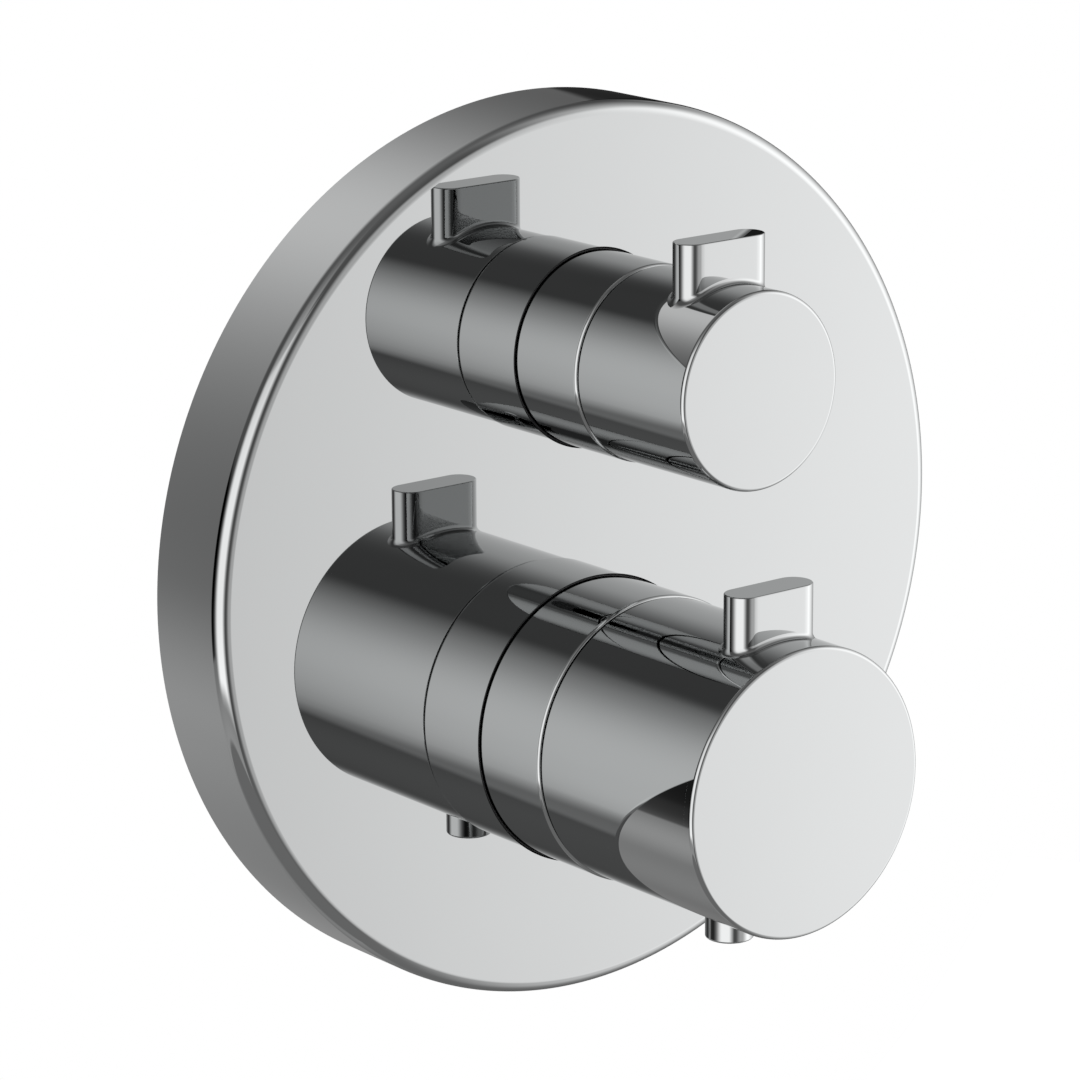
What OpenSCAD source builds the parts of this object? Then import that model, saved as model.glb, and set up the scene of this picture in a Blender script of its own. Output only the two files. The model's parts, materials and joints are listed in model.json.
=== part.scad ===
// Concealed thermostatic shower valve with a round cover plate and two handles.
// Millimetres. The wall's finished face is the plane y = 0, the room is at -y, the wall at +y and up is +z.
// Turned pieces are drawn along a handle's axis with z as the reach out of the wall, then laid on their axis.

/* [Cover plate] */
// Diameter of the round plate
plate_d = 170; // [166:1:180]
// How far the plate's face stands off the wall
plate_depth = 19.4; // [18.5:0.1:21]
// Wall of the plate's shell
plate_wall = 1.8; // [1.4:0.1:2.2]
// Rounding of the plate's front edge
plate_edge_r = 2.5; // [2:0.1:3.5]
// Gap round each sleeve in the plate's hole
plate_hole_gap = 0.45; // [0.3:0.05:0.7]

/* [Handles] */
// Height of the upper handle's axis above the plate's centre
upper_axis_h = 39.4; // [38.5:0.1:41]
// Depth of the lower handle's axis below the plate's centre
lower_axis_drop = 32; // [31:0.1:34]
// Reach of both sleeves out of the wall
sleeve_reach = 36.75; // [35:0.05:40]
// Gap between each sleeve and its knob
knob_gap = 0.45; // [0.3:0.05:1]
// Diameter of the upper sleeve
upper_sleeve_d = 36.8; // [36.4:0.1:39]
// Diameter of the upper knob
upper_knob_d = 36.3; // [34:0.1:38]
// Reach of the upper knob's end cap out of the wall
upper_reach = 66.1; // [65:0.1:72]
// Diameter of the lower sleeve
lower_sleeve_d = 54.8; // [54.4:0.1:58]
// Diameter of the lower knob
lower_knob_d = 54.1; // [53:0.1:56]
// Reach of the lower knob's end cap out of the wall
lower_reach = 79.15; // [78.5:0.05:84]
// Wall of both knob shells
knob_wall = 2.2; // [1.8:0.1:2.4]
// Thickness of the end caps
cap_t = 2; // [1.5:0.1:2.5]
// Rounding of the end caps' front edge
cap_edge_r = 0.75; // [0.5:0.05:1]
// Depth from an end cap to the web behind it
cap_recess = 4.6; // [4:0.1:5]
// Thickness of the web across a knob
web_t = 3; // [2.5:0.1:3.5]

/* [Fins] */
// Width of the upper fin
upper_fin_w = 19.6; // [17:0.1:21]
// Thickness of the upper fin
upper_fin_t = 6.5; // [5.5:0.1:7]
// Height of the upper fin above its knob
upper_fin_h = 8; // [6:0.1:11]
// Distance of the upper fin's face behind the end cap
upper_fin_back = 8.3; // [6:0.1:10]
// Width of the lower fin
lower_fin_w = 19; // [17:0.1:23]
// Thickness of the lower fin
lower_fin_t = 7; // [5.5:0.1:8]
// Height of the lower fin above its knob
lower_fin_h = 9; // [6:0.1:12]
// Distance of the lower fin's face behind the end cap
lower_fin_back = 7.1; // [5:0.1:10]

/* [Safety button] */
// Diameter of the button
button_d = 9; // [7.5:0.1:9.6]
// Distance of the button's axis behind the end cap
button_back = 20.75; // [20:0.05:21.2]
// How far the button stands out of the knob
button_drop = 5.6; // [4.5:0.1:7]
// How far the button is pushed in
button_travel = 2.5; // [2:0.1:2.6]
// Diameter of the stop ring's end stops
stop_d = 32; // [31:0.2:33]
// Diameter of the stop ring under its stops
stop_track_d = 25; // [24.6:0.2:26]
// Clearance of the catch over the safety lug
lug_clear = 0.2; // [0.1:0.05:0.5]
// Turn from the safety lug to the hot end stop
hot_turn = 75; // [60:1:90]
// Turn from the safety lug to the cold end stop
cold_turn = 150; // [120:1:165]

/* [Valve body] */
// Distance between the ends of the two inlets
inlet_span = 130; // [126:1:140]
// Bore of the threaded ports, the pitch diameter of a half-inch pipe thread
port_d = 19.8; // [19:0.1:20.4]
// Depth of the port threads
port_depth = 15; // [13:0.5:16]
// Outside diameter of the inlet and outlet arms
arm_d = 29; // [28:0.5:31]
// Depth of the inlets' axis behind the wall's face
inlet_depth = 40; // [39.5:0.1:40.5]
// Depth of the outlets' axis behind the wall's face
outlet_depth = 55; // [54.5:0.1:56]
// Length of the upward outlet above the upper axis
top_outlet_len = 42; // [41:0.5:46]
// Length of the side outlet from the upper axis
side_outlet_len = 52; // [48:0.5:56]
// Depth of the body's back behind the wall's face
body_depth = 70; // [70:0.5:74]
// Diameter of the thermostat's pocket
thermo_pocket_d = 36; // [35.6:0.1:36.6]
// Diameter of the diverter's pocket
diverter_pocket_d = 29; // [28.6:0.1:29.6]
// Wall of the two pockets
pocket_wall = 5; // [4.6:0.1:5.6]

/* [Bracket] */
// Width of the wall bracket
bracket_w = 75; // [72:1:80]
// Height of the wall bracket
bracket_h = 140; // [138:1:146]
// Thickness of the wall bracket
bracket_t = 2.5; // [2:0.1:4]
// Spacing of the bracket's slots across
slot_span_w = 56; // [52:1:58]
// Spacing of the bracket's slots up and down
slot_span_h = 120; // [118:1:126]
// Width of the slots
slot_d = 5.5; // [4.5:0.1:6.5]
// Length of the slots
slot_len = 12; // [10:0.5:14]

/* [Spindles] */
// Diameter of both spindles
spindle_d = 8; // [7.6:0.1:8.4]
// Running clearance of shafts, slides and buttons
run_gap = 0.05; // [0.03:0.01:0.08]
// Assembly clearance of fixed pieces
fit_gap = 0.1; // [0.05:0.01:0.15]
// Clearance of pieces that pass each other in the open
free_gap = 0.3; // [0.25:0.05:0.5]

/* [Hidden] */
$fn = 96;

// Length by which a cut runs past the surface that it opens
over = 1;

// Knob shells and what closes them
upper_knob_r = upper_knob_d / 2;
lower_knob_r = lower_knob_d / 2;
knob_back = sleeve_reach + knob_gap;
skirt_len = 3;
skirt_wall = 1.2;
hub_len = 6.3;
hub_wall = 2;
insert_r = 7.6;
insert_sides = 6;
screw_floor = 2;
nose_gap = 0.7;
upper_web = upper_reach - cap_t - cap_recess;
lower_web = lower_reach - cap_t - cap_recess;
upper_hub = upper_web - web_t - hub_len;
lower_hub = lower_web - web_t - hub_len;
upper_nose = upper_hub - nose_gap;
lower_nose = lower_hub - nose_gap;

// Knob screws
knob_screw_r = 1.95;
knob_screw_len = 12;
knob_screw_head_r = 3.6;
knob_screw_head_h = 2.4;
drive_r = 1.2;
drive_depth = 1.4;
drive_sides = 6;

// Sleeves, their nuts and O-rings
sleeve_wall = 2;
sleeve_front_edge = 0.65;
sleeve_web_t = 3;
sleeve_web_reach = 2;
sleeve_nut_t = 6;
sleeve_nut_w = 4;
nut_slot_w = 3;
nut_slot_depth = 1.5;
sleeve_ring_r = 0.7;
upper_sleeve_r = upper_sleeve_d / 2;
lower_sleeve_r = lower_sleeve_d / 2;

// Plate carrier, its grip ring, its screws and the wall seal
plate_r = plate_d / 2;
plate_in_r = plate_r - plate_wall;
carrier_reach = 4;
carrier_t = 4;
carrier_rim_h = 9;
carrier_rim_t = 3;
carrier_gap = 2.2;
carrier_r = plate_in_r - carrier_gap;
carrier_hole_gap = 0.6;
grip_groove_depth = 1.2;
grip_ring_r = (plate_in_r - carrier_r + grip_groove_depth) / 2 - run_gap / 2;
grip_ring_at = plate_in_r - run_gap / 2 - grip_ring_r;
grip_ring_lift = 1.5;
grip_ring_reach = carrier_reach + carrier_rim_h / 2 + grip_ring_lift;
seal_w = 9;
carrier_screw_r = 2.4;
carrier_screw_x = 27;
carrier_screw_low = -12;
carrier_screw_high = 22;
carrier_screw_head_r = 4.4;
carrier_screw_head_h = 3;
carrier_screw_grip = 8;
carrier_drive_r = 2.4;
washer_r = 5.4;
washer_t = 1;

// Valve body
lower_axis_h = -lower_axis_drop;
port_r = port_d / 2;
arm_r = arm_d / 2;
arm_hex_r = 16.4;
arm_hex_len = 13;
arm_start = 15.5;
boss_reach = -4;
barrel_reach = -16;
thermo_pocket_r = thermo_pocket_d / 2;
diverter_pocket_r = diverter_pocket_d / 2;
boss_r = thermo_pocket_r + pocket_wall;
diverter_boss_r = diverter_pocket_r + pocket_wall;
annulus_depth = 3;
thermo_annulus_r = thermo_pocket_r + annulus_depth;
diverter_annulus_r = diverter_pocket_r + annulus_depth;
lower_barrel_r = thermo_annulus_r + pocket_wall;
upper_barrel_r = diverter_annulus_r + pocket_wall;
pocket_floor = 6;
thermo_floor = -body_depth + pocket_floor;
annulus_w = 8;
annulus_offset = 7;
cold_annulus = -inlet_depth + annulus_offset;
hot_annulus = -inlet_depth - annulus_offset;
mixed_lift = 2;
mixed_annulus = thermo_floor + mixed_lift + annulus_w / 2;
check_bore_r = 8.6;
check_bore_end = 27;
inlet_channel_r = 4.4;
mixed_channel_r = 6;
crossover_r = 6.6;
spine_w = 28;
spine_back = -body_depth;
spine_front = -22;
outlet_cover = 9;
diverter_annulus_lift = 16;
diverter_floor = -outlet_depth + outlet_cover;
diverter_annulus = diverter_floor + diverter_annulus_lift;
crossover_h = 4;
kidney_r = 3.5;
kidney_at = 7.6;
side_channel_r = 5.2;
side_channel_start = 5;
top_channel_r = 5;
top_channel_x = -4.5;
flange_w = 66;
flange_low = -20;
flange_high = 31;
flange_t = 8;

// Bracket and its screws
bracket_mid_h = (upper_axis_h + lower_axis_h) / 2;
bracket_corner_r = 8;
bracket_screw_r = 2;
bracket_screw_x = 9;
bracket_screw_h = 14;
bracket_screw_len = 5;
bracket_screw_head_r = 3.9;
bracket_screw_head_h = 1.9;
head_sink = 0.1;

// Strainers and check valves
check_cage_r = check_bore_r - fit_gap;
check_cage_wall = 1.2;
check_cage_start = 28;
check_cage_len = 16;
check_hub_r = 2.6;
check_hub_len = 4.5;
check_spokes = 6;
check_spoke_w = 1.6;
check_spoke_len = 3;
check_spoke_set = 0.5;
check_spoke_root = 2.2;
check_seat_r = 5;
check_seat_t = 2;
check_travel = 2.5;
check_wire_r = 0.35;
check_coil_r = 3.2;
check_turns = 5;
poppet_r = 6.3;
poppet_t = 1.6;
poppet_stem_r = 1.5;
strainer_len = 5;
strainer_wall = 0.8;
strainer_gap = 0.4;
strainer_slots = 16;
strainer_slot_w = 1.2;
strainer_slot_len = 3;

// Thermostat cartridge
cage_gap = fit_gap;
thermo_cage_r = thermo_pocket_r - cage_gap;
thermo_cage_wall = 2.5;
thermo_cage_in_r = thermo_cage_r - thermo_cage_wall;
skirt_reach = -12;
cage_windows = 6;
window_w = 7;
cage_floor_t = 3.5;
cage_outflow_r = 8;
o_ring_r = 0.9;
o_ring_groove = 1.6;
bonnet_hex_r = 22;
bonnet_hex_top = 2;
bonnet_nose_r = 12;
bonnet_tail_r = 13.8;
bonnet_tail_reach = -24;
chamber_hex_r = 12.4;
nut_key_gap = 0.15;
spindle_r = spindle_d / 2;
spline_inset = 0.2;
spindle_spline_r = spindle_r - spline_inset;
spindle_bore_r = spindle_r + run_gap;
thrust_flange_r = 8;
thrust_flange_t = 2;
spindle_tail_r = 5;
spindle_tail_reach = -12;
regulating_reach = -6;
regulating_len = 18;
regulating_web = 8;
regulating_cup_r = 8;
regulating_lip_r = 6.8;
regulating_lip_t = 0.9;
overload_wire_r = 0.6;
overload_mean_r = 6;
overload_turns = 4;
seat_t = 2;
wax_pin_r = 1.5;
wax_pin_len = 6;
wax_guide_r = 3;
wax_guide_len = 8;
wax_flange_r = 7;
wax_flange_t = 2;
wax_bulb_r = 5;
wax_bulb_len = 15;
wax_bulb_edge_r = 1;
shuttle_len = 12;
shuttle_wall = 2;
shuttle_web_t = 3;
shuttle_web_front = 3;
shuttle_holes = 6;
shuttle_hole_r = 2;
shuttle_hole_at = 9.5;
return_wire_r = 0.7;
return_mean_r = 9.5;
return_turns = 5;
shuttle_r = thermo_cage_in_r - run_gap;
shuttle_seal_at = thermo_cage_in_r - o_ring_r;
shuttle_front = -inlet_depth + shuttle_len / 2;
shuttle_web = shuttle_front - shuttle_web_front;
thermo_ring_reaches = [cold_annulus + annulus_w, -inlet_depth, (hot_annulus + mixed_annulus) / 2];
seat_reach = regulating_reach - regulating_len + regulating_lip_t;
bulb_front = shuttle_web - shuttle_web_t;

// Stop ring, clip, yoke and button
catch_w = 4;
catch_rest_r = 14.4;
clip_t = 1;
clip_inset = 0.6;
clip_groove = 1;
clip_rim = 2;
clip_mouth_w = 6;
stop_ring_len = 8;
stop_edge_gap = 1;
safety_lug_deg = 8;
nose_spline_r = 9;
spline_depth = 0.6;
tip_share = 0.2;
root_share = 0.3;
nose_teeth = 24;
spindle_teeth = 16;
stop_r = stop_d / 2;
stop_track_r = stop_track_d / 2;
lug_r = catch_rest_r - lug_clear;
clip_reach = lower_nose - clip_inset - clip_t;
stop_ring_back = clip_reach - stop_ring_len;
button_r = button_d / 2;
button_reach = lower_reach - button_back;
lower_knob_in_r = lower_knob_r - knob_wall;
yoke_t = 4;
yoke_room = 1;
yoke_in_r = stop_r + yoke_room;
yoke_wall = 2.5;
yoke_out_r = yoke_in_r + yoke_wall;
yoke_low = -yoke_out_r - button_travel;
button_flange_r = 5.6;
button_flange_t = 1.2;
button_post_r = 2;
button_edge_r = 0.4;
button_spring_wire_r = 0.3;
button_spring_mean_r = 2.2;
button_spring_turns = 4;
button_pin_r = 1.2;
button_pin_len = 1.5;

// Diverter cartridge
diverter_cage_r = diverter_pocket_r - cage_gap;
diverter_cage_wall = 2;
diverter_cage_in_r = diverter_cage_r - diverter_cage_wall;
diverter_hex_r = 18.4;
diverter_nose_r = 9.5;
gasket_t = 1.5;
disc_t = 4;
disc_rim_gap = 0.2;
disc_r = diverter_cage_in_r - disc_rim_gap;
kidney_half_deg = 38;
kidney_w = 5;
driver_r = 11;
driver_t = 8;
driver_lug_w = 5;
driver_lug_h = 1.5;
driver_collar_r = 7;
lug_gap = 0.1;
spindle_ring_r = 0.75;
diverter_ring_reaches = [diverter_annulus - annulus_w, diverter_annulus + annulus_w];
fixed_disc_back = diverter_floor + gasket_t;
turning_disc_back = fixed_disc_back + disc_t;
driver_back = turning_disc_back + disc_t;

// Facets of the coils
coil_sides = 6;
coil_rings = 10;

// Puts a piece, drawn with z out of the wall, on an axis at height h above the plate's centre
module on_axis(h) {
    translate([0, 0, h]) rotate([90, 0, 0]) children();
}

// Puts a piece, drawn with z away from the valve's middle, on the inlets' axis, side -1 left or 1 right
module on_inlet(side) {
    translate([0, inlet_depth, lower_axis_h]) rotate([0, 90 * side, 0]) children();
}

// A disc or rod of radius r from reach z0 to z1
module rod(r, z0, z1) {
    translate([0, 0, z0]) cylinder(r = r, h = z1 - z0);
}

// A tube between two radii from reach z0 to z1
module tube(r_out, r_in, z0, z1) {
    difference() {
        rod(r_out, z0, z1);
        rod(r_in, z0 - over, z1 + over);
    }
}

// A prism with its corners at radius r
module prism(r, sides, z0, z1) {
    translate([0, 0, z0]) cylinder(r = r, h = z1 - z0, $fn = sides);
}

// A ring of round section
module o_ring(mid_r, section_r, z) {
    translate([0, 0, z]) rotate_extrude() translate([mid_r, 0]) circle(r = section_r);
}

// A rod whose far edge is rounded by edge_r
module round_rod(r, z0, z1, edge_r) {
    rod(r, z0, z1 - edge_r);
    rod(r - edge_r, z0, z1);
    o_ring(r - edge_r, edge_r, z1 - edge_r);
}

// Outline of a strip w by t with fully round ends, its long side along x
module strip(w, t) {
    square([w - t, t], center = true);
    for (side = [-1, 1]) translate([side * (w - t) / 2, 0]) circle(r = t / 2);
}

// Outline of a rectangle with round corners
module round_plate(w, h, r) {
    square([w - 2 * r, h], center = true);
    square([w, h - 2 * r], center = true);
    for (x = [-1, 1], y = [-1, 1]) translate([x * (w / 2 - r), y * (h / 2 - r)]) circle(r = r);
}

// Outline of a splined shaft with its teeth's tips at radius r
module spline(r, teeth) {
    step = 360 / teeth;
    root_r = r - spline_depth;
    polygon([for (i = [0 : teeth - 1]) each [
        for (corner = [[-root_share, root_r], [-tip_share, r], [tip_share, r], [root_share, root_r]])
            corner[1] * [cos((i + corner[0]) * step), sin((i + corner[0]) * step)]]]);
}

// A sector of a flat ring between two angles
module sector(r_out, r_in, from_deg, to_deg) {
    rotate([0, 0, from_deg]) rotate_extrude(angle = to_deg - from_deg)
        translate([r_in, 0]) square([r_out - r_in, 1]);
}

// One point of a coil's wire, turn counted from its start and side counted round the wire
function coil_point(mid_r, wire_r, z0, rise, turn, side) =
    let (a = 360 * turn, b = 360 * side / coil_sides, r = mid_r + wire_r * cos(b))
    [r * cos(a), r * sin(a), z0 + rise * turn + wire_r * sin(b)];

// A coil spring between two seats
module coil(mid_r, wire_r, z0, z1, turns) {
    rings = turns * coil_rings;
    start = z0 + wire_r;
    rise = (z1 - z0 - 2 * wire_r) / turns;
    points = [for (i = [0 : rings], j = [0 : coil_sides - 1])
        coil_point(mid_r, wire_r, start, rise, i / coil_rings, j)];
    walls = [for (i = [0 : rings - 1], j = [0 : coil_sides - 1])
        let (k = (j + 1) % coil_sides, a = i * coil_sides, b = a + coil_sides)
        each [[a + j, b + k, b + j], [a + j, a + k, b + k]]];
    first = [for (j = [1 : coil_sides - 2]) [0, j + 1, j]];
    last = [for (j = [1 : coil_sides - 2]) [for (side = [0, j, j + 1]) rings * coil_sides + side]];
    polyhedron(points = points, faces = concat(walls, first, last));
}

// Bores that the two sleeves pass through, wider than the sleeves by gap
module sleeve_holes(gap, z0, z1) {
    on_axis(upper_axis_h) rod(upper_sleeve_r + gap, z0, z1);
    on_axis(lower_axis_h) rod(lower_sleeve_r + gap, z0, z1);
}

module cover_plate() {
    color("gainsboro") difference() {
        on_axis(0) round_rod(plate_r, 0, plate_depth, plate_edge_r);
        on_axis(0) round_rod(plate_in_r, -over, plate_depth - plate_wall, plate_edge_r - plate_wall / 2);
        sleeve_holes(plate_hole_gap, 0, plate_depth + over);
    }
}

module wall_seal() {
    color("dimgray") on_axis(0) tube(plate_in_r - fit_gap, plate_in_r - seal_w, 0, carrier_reach);
}

module plate_carrier() {
    color("dimgray") difference() {
        on_axis(0) union() {
            rod(carrier_r, carrier_reach, carrier_reach + carrier_t);
            tube(carrier_r, carrier_r - carrier_rim_t, carrier_reach, carrier_reach + carrier_rim_h);
        }
        on_axis(0) o_ring(grip_ring_at, grip_ring_r + run_gap / 4, grip_ring_reach);
        sleeve_holes(carrier_hole_gap, 0, plate_depth);
        at_carrier_screws() rod(carrier_screw_r + fit_gap, 0, plate_depth);
    }
}

module carrier_grip_ring() {
    color("black") on_axis(0) o_ring(grip_ring_at, grip_ring_r, grip_ring_reach);
}

module at_carrier_screws() {
    for (x = [-carrier_screw_x, carrier_screw_x], h = [carrier_screw_low, carrier_screw_high])
        translate([x, 0, 0]) on_axis(h) children();
}

module carrier_screws() {
    seat = carrier_reach + carrier_t;
    head = seat + washer_t;
    color("silver") at_carrier_screws() difference() {
        union() {
            rod(carrier_screw_r, spine_front - carrier_screw_grip, seat);
            rod(washer_r, seat, head);
            rod(carrier_screw_head_r, head, head + carrier_screw_head_h);
        }
        prism(carrier_drive_r, drive_sides, head + drive_depth, head + carrier_screw_head_h + over);
    }
}

// A sleeve starts with a web at its nut's seat and passes through the plate
module sleeve(r, nose_r) {
    difference() {
        round_rod(r, sleeve_web_reach, sleeve_reach, sleeve_front_edge);
        rod(r - sleeve_wall, sleeve_web_reach + sleeve_web_t, sleeve_reach + over);
        rod(nose_r + fit_gap, sleeve_web_reach - over, sleeve_reach);
        sleeve_ring(r, sleeve_ring_r + run_gap);
    }
}

// The ring between a sleeve and the plate
module sleeve_ring(r, section_r) {
    o_ring(r + plate_hole_gap - run_gap - sleeve_ring_r, section_r, plate_depth - plate_wall / 2);
}

module upper_sleeve() {
    color("gainsboro") on_axis(upper_axis_h) sleeve(upper_sleeve_r, diverter_nose_r);
}

module lower_sleeve() {
    color("gainsboro") on_axis(lower_axis_h) sleeve(lower_sleeve_r, bonnet_nose_r);
}

// A slotted ring nut that holds a sleeve on its bonnet's nose
module sleeve_nut(nose_r) {
    start = sleeve_web_reach + sleeve_web_t;
    nut_r = nose_r + sleeve_nut_w;
    difference() {
        tube(nut_r, nose_r + fit_gap, start, start + sleeve_nut_t);
        for (turn = [0 : 90 : 270]) rotate([0, 0, turn])
            translate([nut_r - nut_slot_depth, -nut_slot_w / 2, start - over])
                cube([nut_slot_depth + over, nut_slot_w, sleeve_nut_t + 2 * over]);
    }
}

module upper_sleeve_nut() {
    color("goldenrod") on_axis(upper_axis_h) sleeve_nut(diverter_nose_r);
}

module lower_sleeve_nut() {
    color("goldenrod") on_axis(lower_axis_h) sleeve_nut(bonnet_nose_r);
}

module sleeve_o_rings() {
    color("black") {
        on_axis(upper_axis_h) sleeve_ring(upper_sleeve_r, sleeve_ring_r);
        on_axis(lower_axis_h) sleeve_ring(lower_sleeve_r, sleeve_ring_r);
    }
}

// An arm with a port at its end, drawn along z from inside a barrel
module arm(len) {
    rod(arm_r, arm_start, len);
    prism(arm_hex_r, 6, len - arm_hex_len, len);
}

module body_solid() {
    on_axis(lower_axis_h) {
        rod(lower_barrel_r, -body_depth, barrel_reach);
        rod(boss_r, barrel_reach - over, boss_reach);
    }
    on_axis(upper_axis_h) {
        rod(upper_barrel_r, -body_depth, barrel_reach);
        rod(diverter_boss_r, barrel_reach - over, boss_reach);
    }
    translate([-spine_w / 2, -spine_front, lower_axis_h])
        cube([spine_w, spine_front - spine_back, upper_axis_h - lower_axis_h]);
    translate([-flange_w / 2, -spine_front, flange_low]) cube([flange_w, flange_t, flange_high - flange_low]);
    for (side = [-1, 1]) on_inlet(side) arm(inlet_span / 2);
    translate([0, outlet_depth, upper_axis_h]) {
        arm(top_outlet_len);
        rotate([0, 90, 0]) arm(side_outlet_len);
    }
}

// Rings of room round a cage, each at its own reach
module annulus(pocket_r, reach) {
    rod(pocket_r + annulus_depth, reach - annulus_w / 2, reach + annulus_w / 2);
}

module thermostat_hollows() {
    on_axis(lower_axis_h) {
        rod(thermo_pocket_r, thermo_floor, 0);
        for (reach = [cold_annulus, hot_annulus, mixed_annulus]) annulus(thermo_pocket_r, reach);
    }
    for (side = [-1, 1]) {
        on_inlet(side) {
            rod(port_r, inlet_span / 2 - port_depth, inlet_span / 2 + over);
            rod(check_bore_r, check_bore_end, inlet_span / 2);
        }
        translate([0, -side * annulus_offset, 0]) on_inlet(side)
            rod(inlet_channel_r, thermo_annulus_r - over, check_bore_end + inlet_channel_r);
    }
}

module diverter_hollows() {
    on_axis(upper_axis_h) {
        rod(diverter_pocket_r, diverter_floor, 0);
        annulus(diverter_pocket_r, diverter_annulus);
        for (side = [-1, 1]) translate([side * kidney_at, 0, 0])
            rod(kidney_r, -outlet_depth, diverter_floor + over);
    }
    translate([0, outlet_depth, upper_axis_h]) {
        rod(port_r, top_outlet_len - port_depth, top_outlet_len + over);
        translate([top_channel_x, 0, 0]) rod(top_channel_r, -top_channel_r / 2, top_outlet_len);
        rotate([0, 90, 0]) {
            rod(port_r, side_outlet_len - port_depth, side_outlet_len + over);
            rod(side_channel_r, side_channel_start, side_outlet_len);
        }
    }
}

// The way from the thermostat's back up to the diverter's front, with a crossover at mid height
module mixed_channel() {
    translate([0, -mixed_annulus, 0])
        rod(mixed_channel_r, lower_axis_h + thermo_annulus_r - over, crossover_h);
    on_axis(crossover_h)
        rod(crossover_r, mixed_annulus - mixed_channel_r + over, diverter_annulus + mixed_channel_r - over);
    translate([0, -diverter_annulus, 0])
        rod(mixed_channel_r, crossover_h, upper_axis_h - diverter_annulus_r + over);
}

module at_bracket_screws() {
    for (x = [-bracket_screw_x, bracket_screw_x], h = [-bracket_screw_h, bracket_screw_h])
        translate([x, 0, 0]) on_axis(bracket_mid_h + h) children();
}

module valve_body() {
    color("goldenrod") difference() {
        body_solid();
        thermostat_hollows();
        diverter_hollows();
        mixed_channel();
        at_carrier_screws() rod(carrier_screw_r + run_gap, -body_depth / 2, 0);
        at_bracket_screws()
            rod(bracket_screw_r + run_gap, -body_depth - over, -body_depth + bracket_screw_len + run_gap);
    }
}

module wall_bracket() {
    back = -body_depth - bracket_t;
    color("silver") difference() {
        on_axis(bracket_mid_h) translate([0, 0, back]) linear_extrude(bracket_t) difference() {
            round_plate(bracket_w, bracket_h, bracket_corner_r);
            for (x = [-1, 1], y = [-1, 1]) translate([x * slot_span_w / 2, y * slot_span_h / 2])
                strip(slot_len, slot_d);
        }
        at_bracket_screws() {
            rod(bracket_screw_r + fit_gap, back - over, -body_depth + over);
            bracket_countersink(back - over, bracket_screw_head_r + over + fit_gap, bracket_screw_r + fit_gap,
                bracket_screw_head_h + over);
        }
    }
}

module bracket_countersink(start, wide_r, narrow_r, depth) {
    translate([0, 0, start]) cylinder(r1 = wide_r, r2 = narrow_r, h = depth);
}

module bracket_screws() {
    back = -body_depth - bracket_t + head_sink;
    color("silver") at_bracket_screws() difference() {
        union() {
            rod(bracket_screw_r, back, -body_depth + bracket_screw_len);
            bracket_countersink(back, bracket_screw_head_r - head_sink, bracket_screw_r,
                bracket_screw_head_h - head_sink);
        }
        prism(drive_r, drive_sides, back - over, back + drive_depth);
    }
}

// A cup of fine slots ahead of each check valve, drawn along z out of the inlet
module strainer() {
    start = check_cage_start + check_cage_len + strainer_gap;
    slot_step = 360 / strainer_slots;
    difference() {
        rod(check_cage_r, start, start + strainer_len);
        rod(check_cage_r - strainer_wall, start - over, start + strainer_len - strainer_wall);
        for (i = [0 : strainer_slots - 1]) rotate([0, 0, i * slot_step])
            translate([check_cage_r - strainer_slot_len, -strainer_slot_w / 2, start + strainer_len / 2])
                cube([strainer_slot_len / 2, strainer_slot_w, strainer_len]);
    }
}

module hot_strainer() {
    color("silver") on_inlet(-1) strainer();
}

module cold_strainer() {
    color("silver") on_inlet(1) strainer();
}

// A check valve's cage: a seat towards the inlet and a spoked hub that guides the poppet's stem
module check_cage() {
    seat = check_cage_start + check_cage_len;
    tube(check_cage_r, check_cage_r - check_cage_wall, check_cage_start, seat);
    tube(check_cage_r - check_cage_wall / 2, check_seat_r, seat - check_seat_t, seat);
    tube(check_hub_r, poppet_stem_r + run_gap, check_cage_start, check_cage_start + check_hub_len);
    for (i = [0 : check_spokes - 1]) rotate([0, 0, i * 360 / check_spokes])
        translate([check_spoke_root, -check_spoke_w / 2, check_cage_start + check_spoke_set])
            cube([check_cage_r - check_cage_wall / 2 - check_spoke_root, check_spoke_w, check_spoke_len]);
}

module hot_check_cage() {
    color("white") on_inlet(-1) check_cage();
}

module cold_check_cage() {
    color("white") on_inlet(1) check_cage();
}

// A disc that the spring holds against the seat, on a stem in the hub
module poppet() {
    seat = check_cage_start + check_cage_len - check_seat_t;
    rod(poppet_r, seat - poppet_t, seat);
    rod(poppet_stem_r, check_cage_start + check_travel, seat - poppet_t);
}

module hot_check_poppet() {
    color("tomato") on_inlet(-1) poppet();
}

module cold_check_poppet() {
    color("steelblue") on_inlet(1) poppet();
}

module check_spring() {
    seat = check_cage_start + check_cage_len - check_seat_t - poppet_t;
    coil(check_coil_r, check_wire_r, check_cage_start + check_hub_len + fit_gap, seat - fit_gap, check_turns);
}

module hot_check_spring() {
    color("silver") on_inlet(-1) check_spring();
}

module cold_check_spring() {
    color("silver") on_inlet(1) check_spring();
}

// Windows round a cage's wall at a reach
module windows(r, reach) {
    for (i = [0 : cage_windows - 1]) rotate([0, 0, i * 360 / cage_windows])
        translate([0, -window_w / 2, reach - annulus_w / 2]) cube([r + over, window_w, annulus_w]);
}

// O-rings of a section round a cage, reaching out to the pocket's wall
module cage_rings(pocket_r, section_r, reaches) {
    for (reach = reaches) o_ring(pocket_r - run_gap - o_ring_r, section_r, reach);
}

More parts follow.
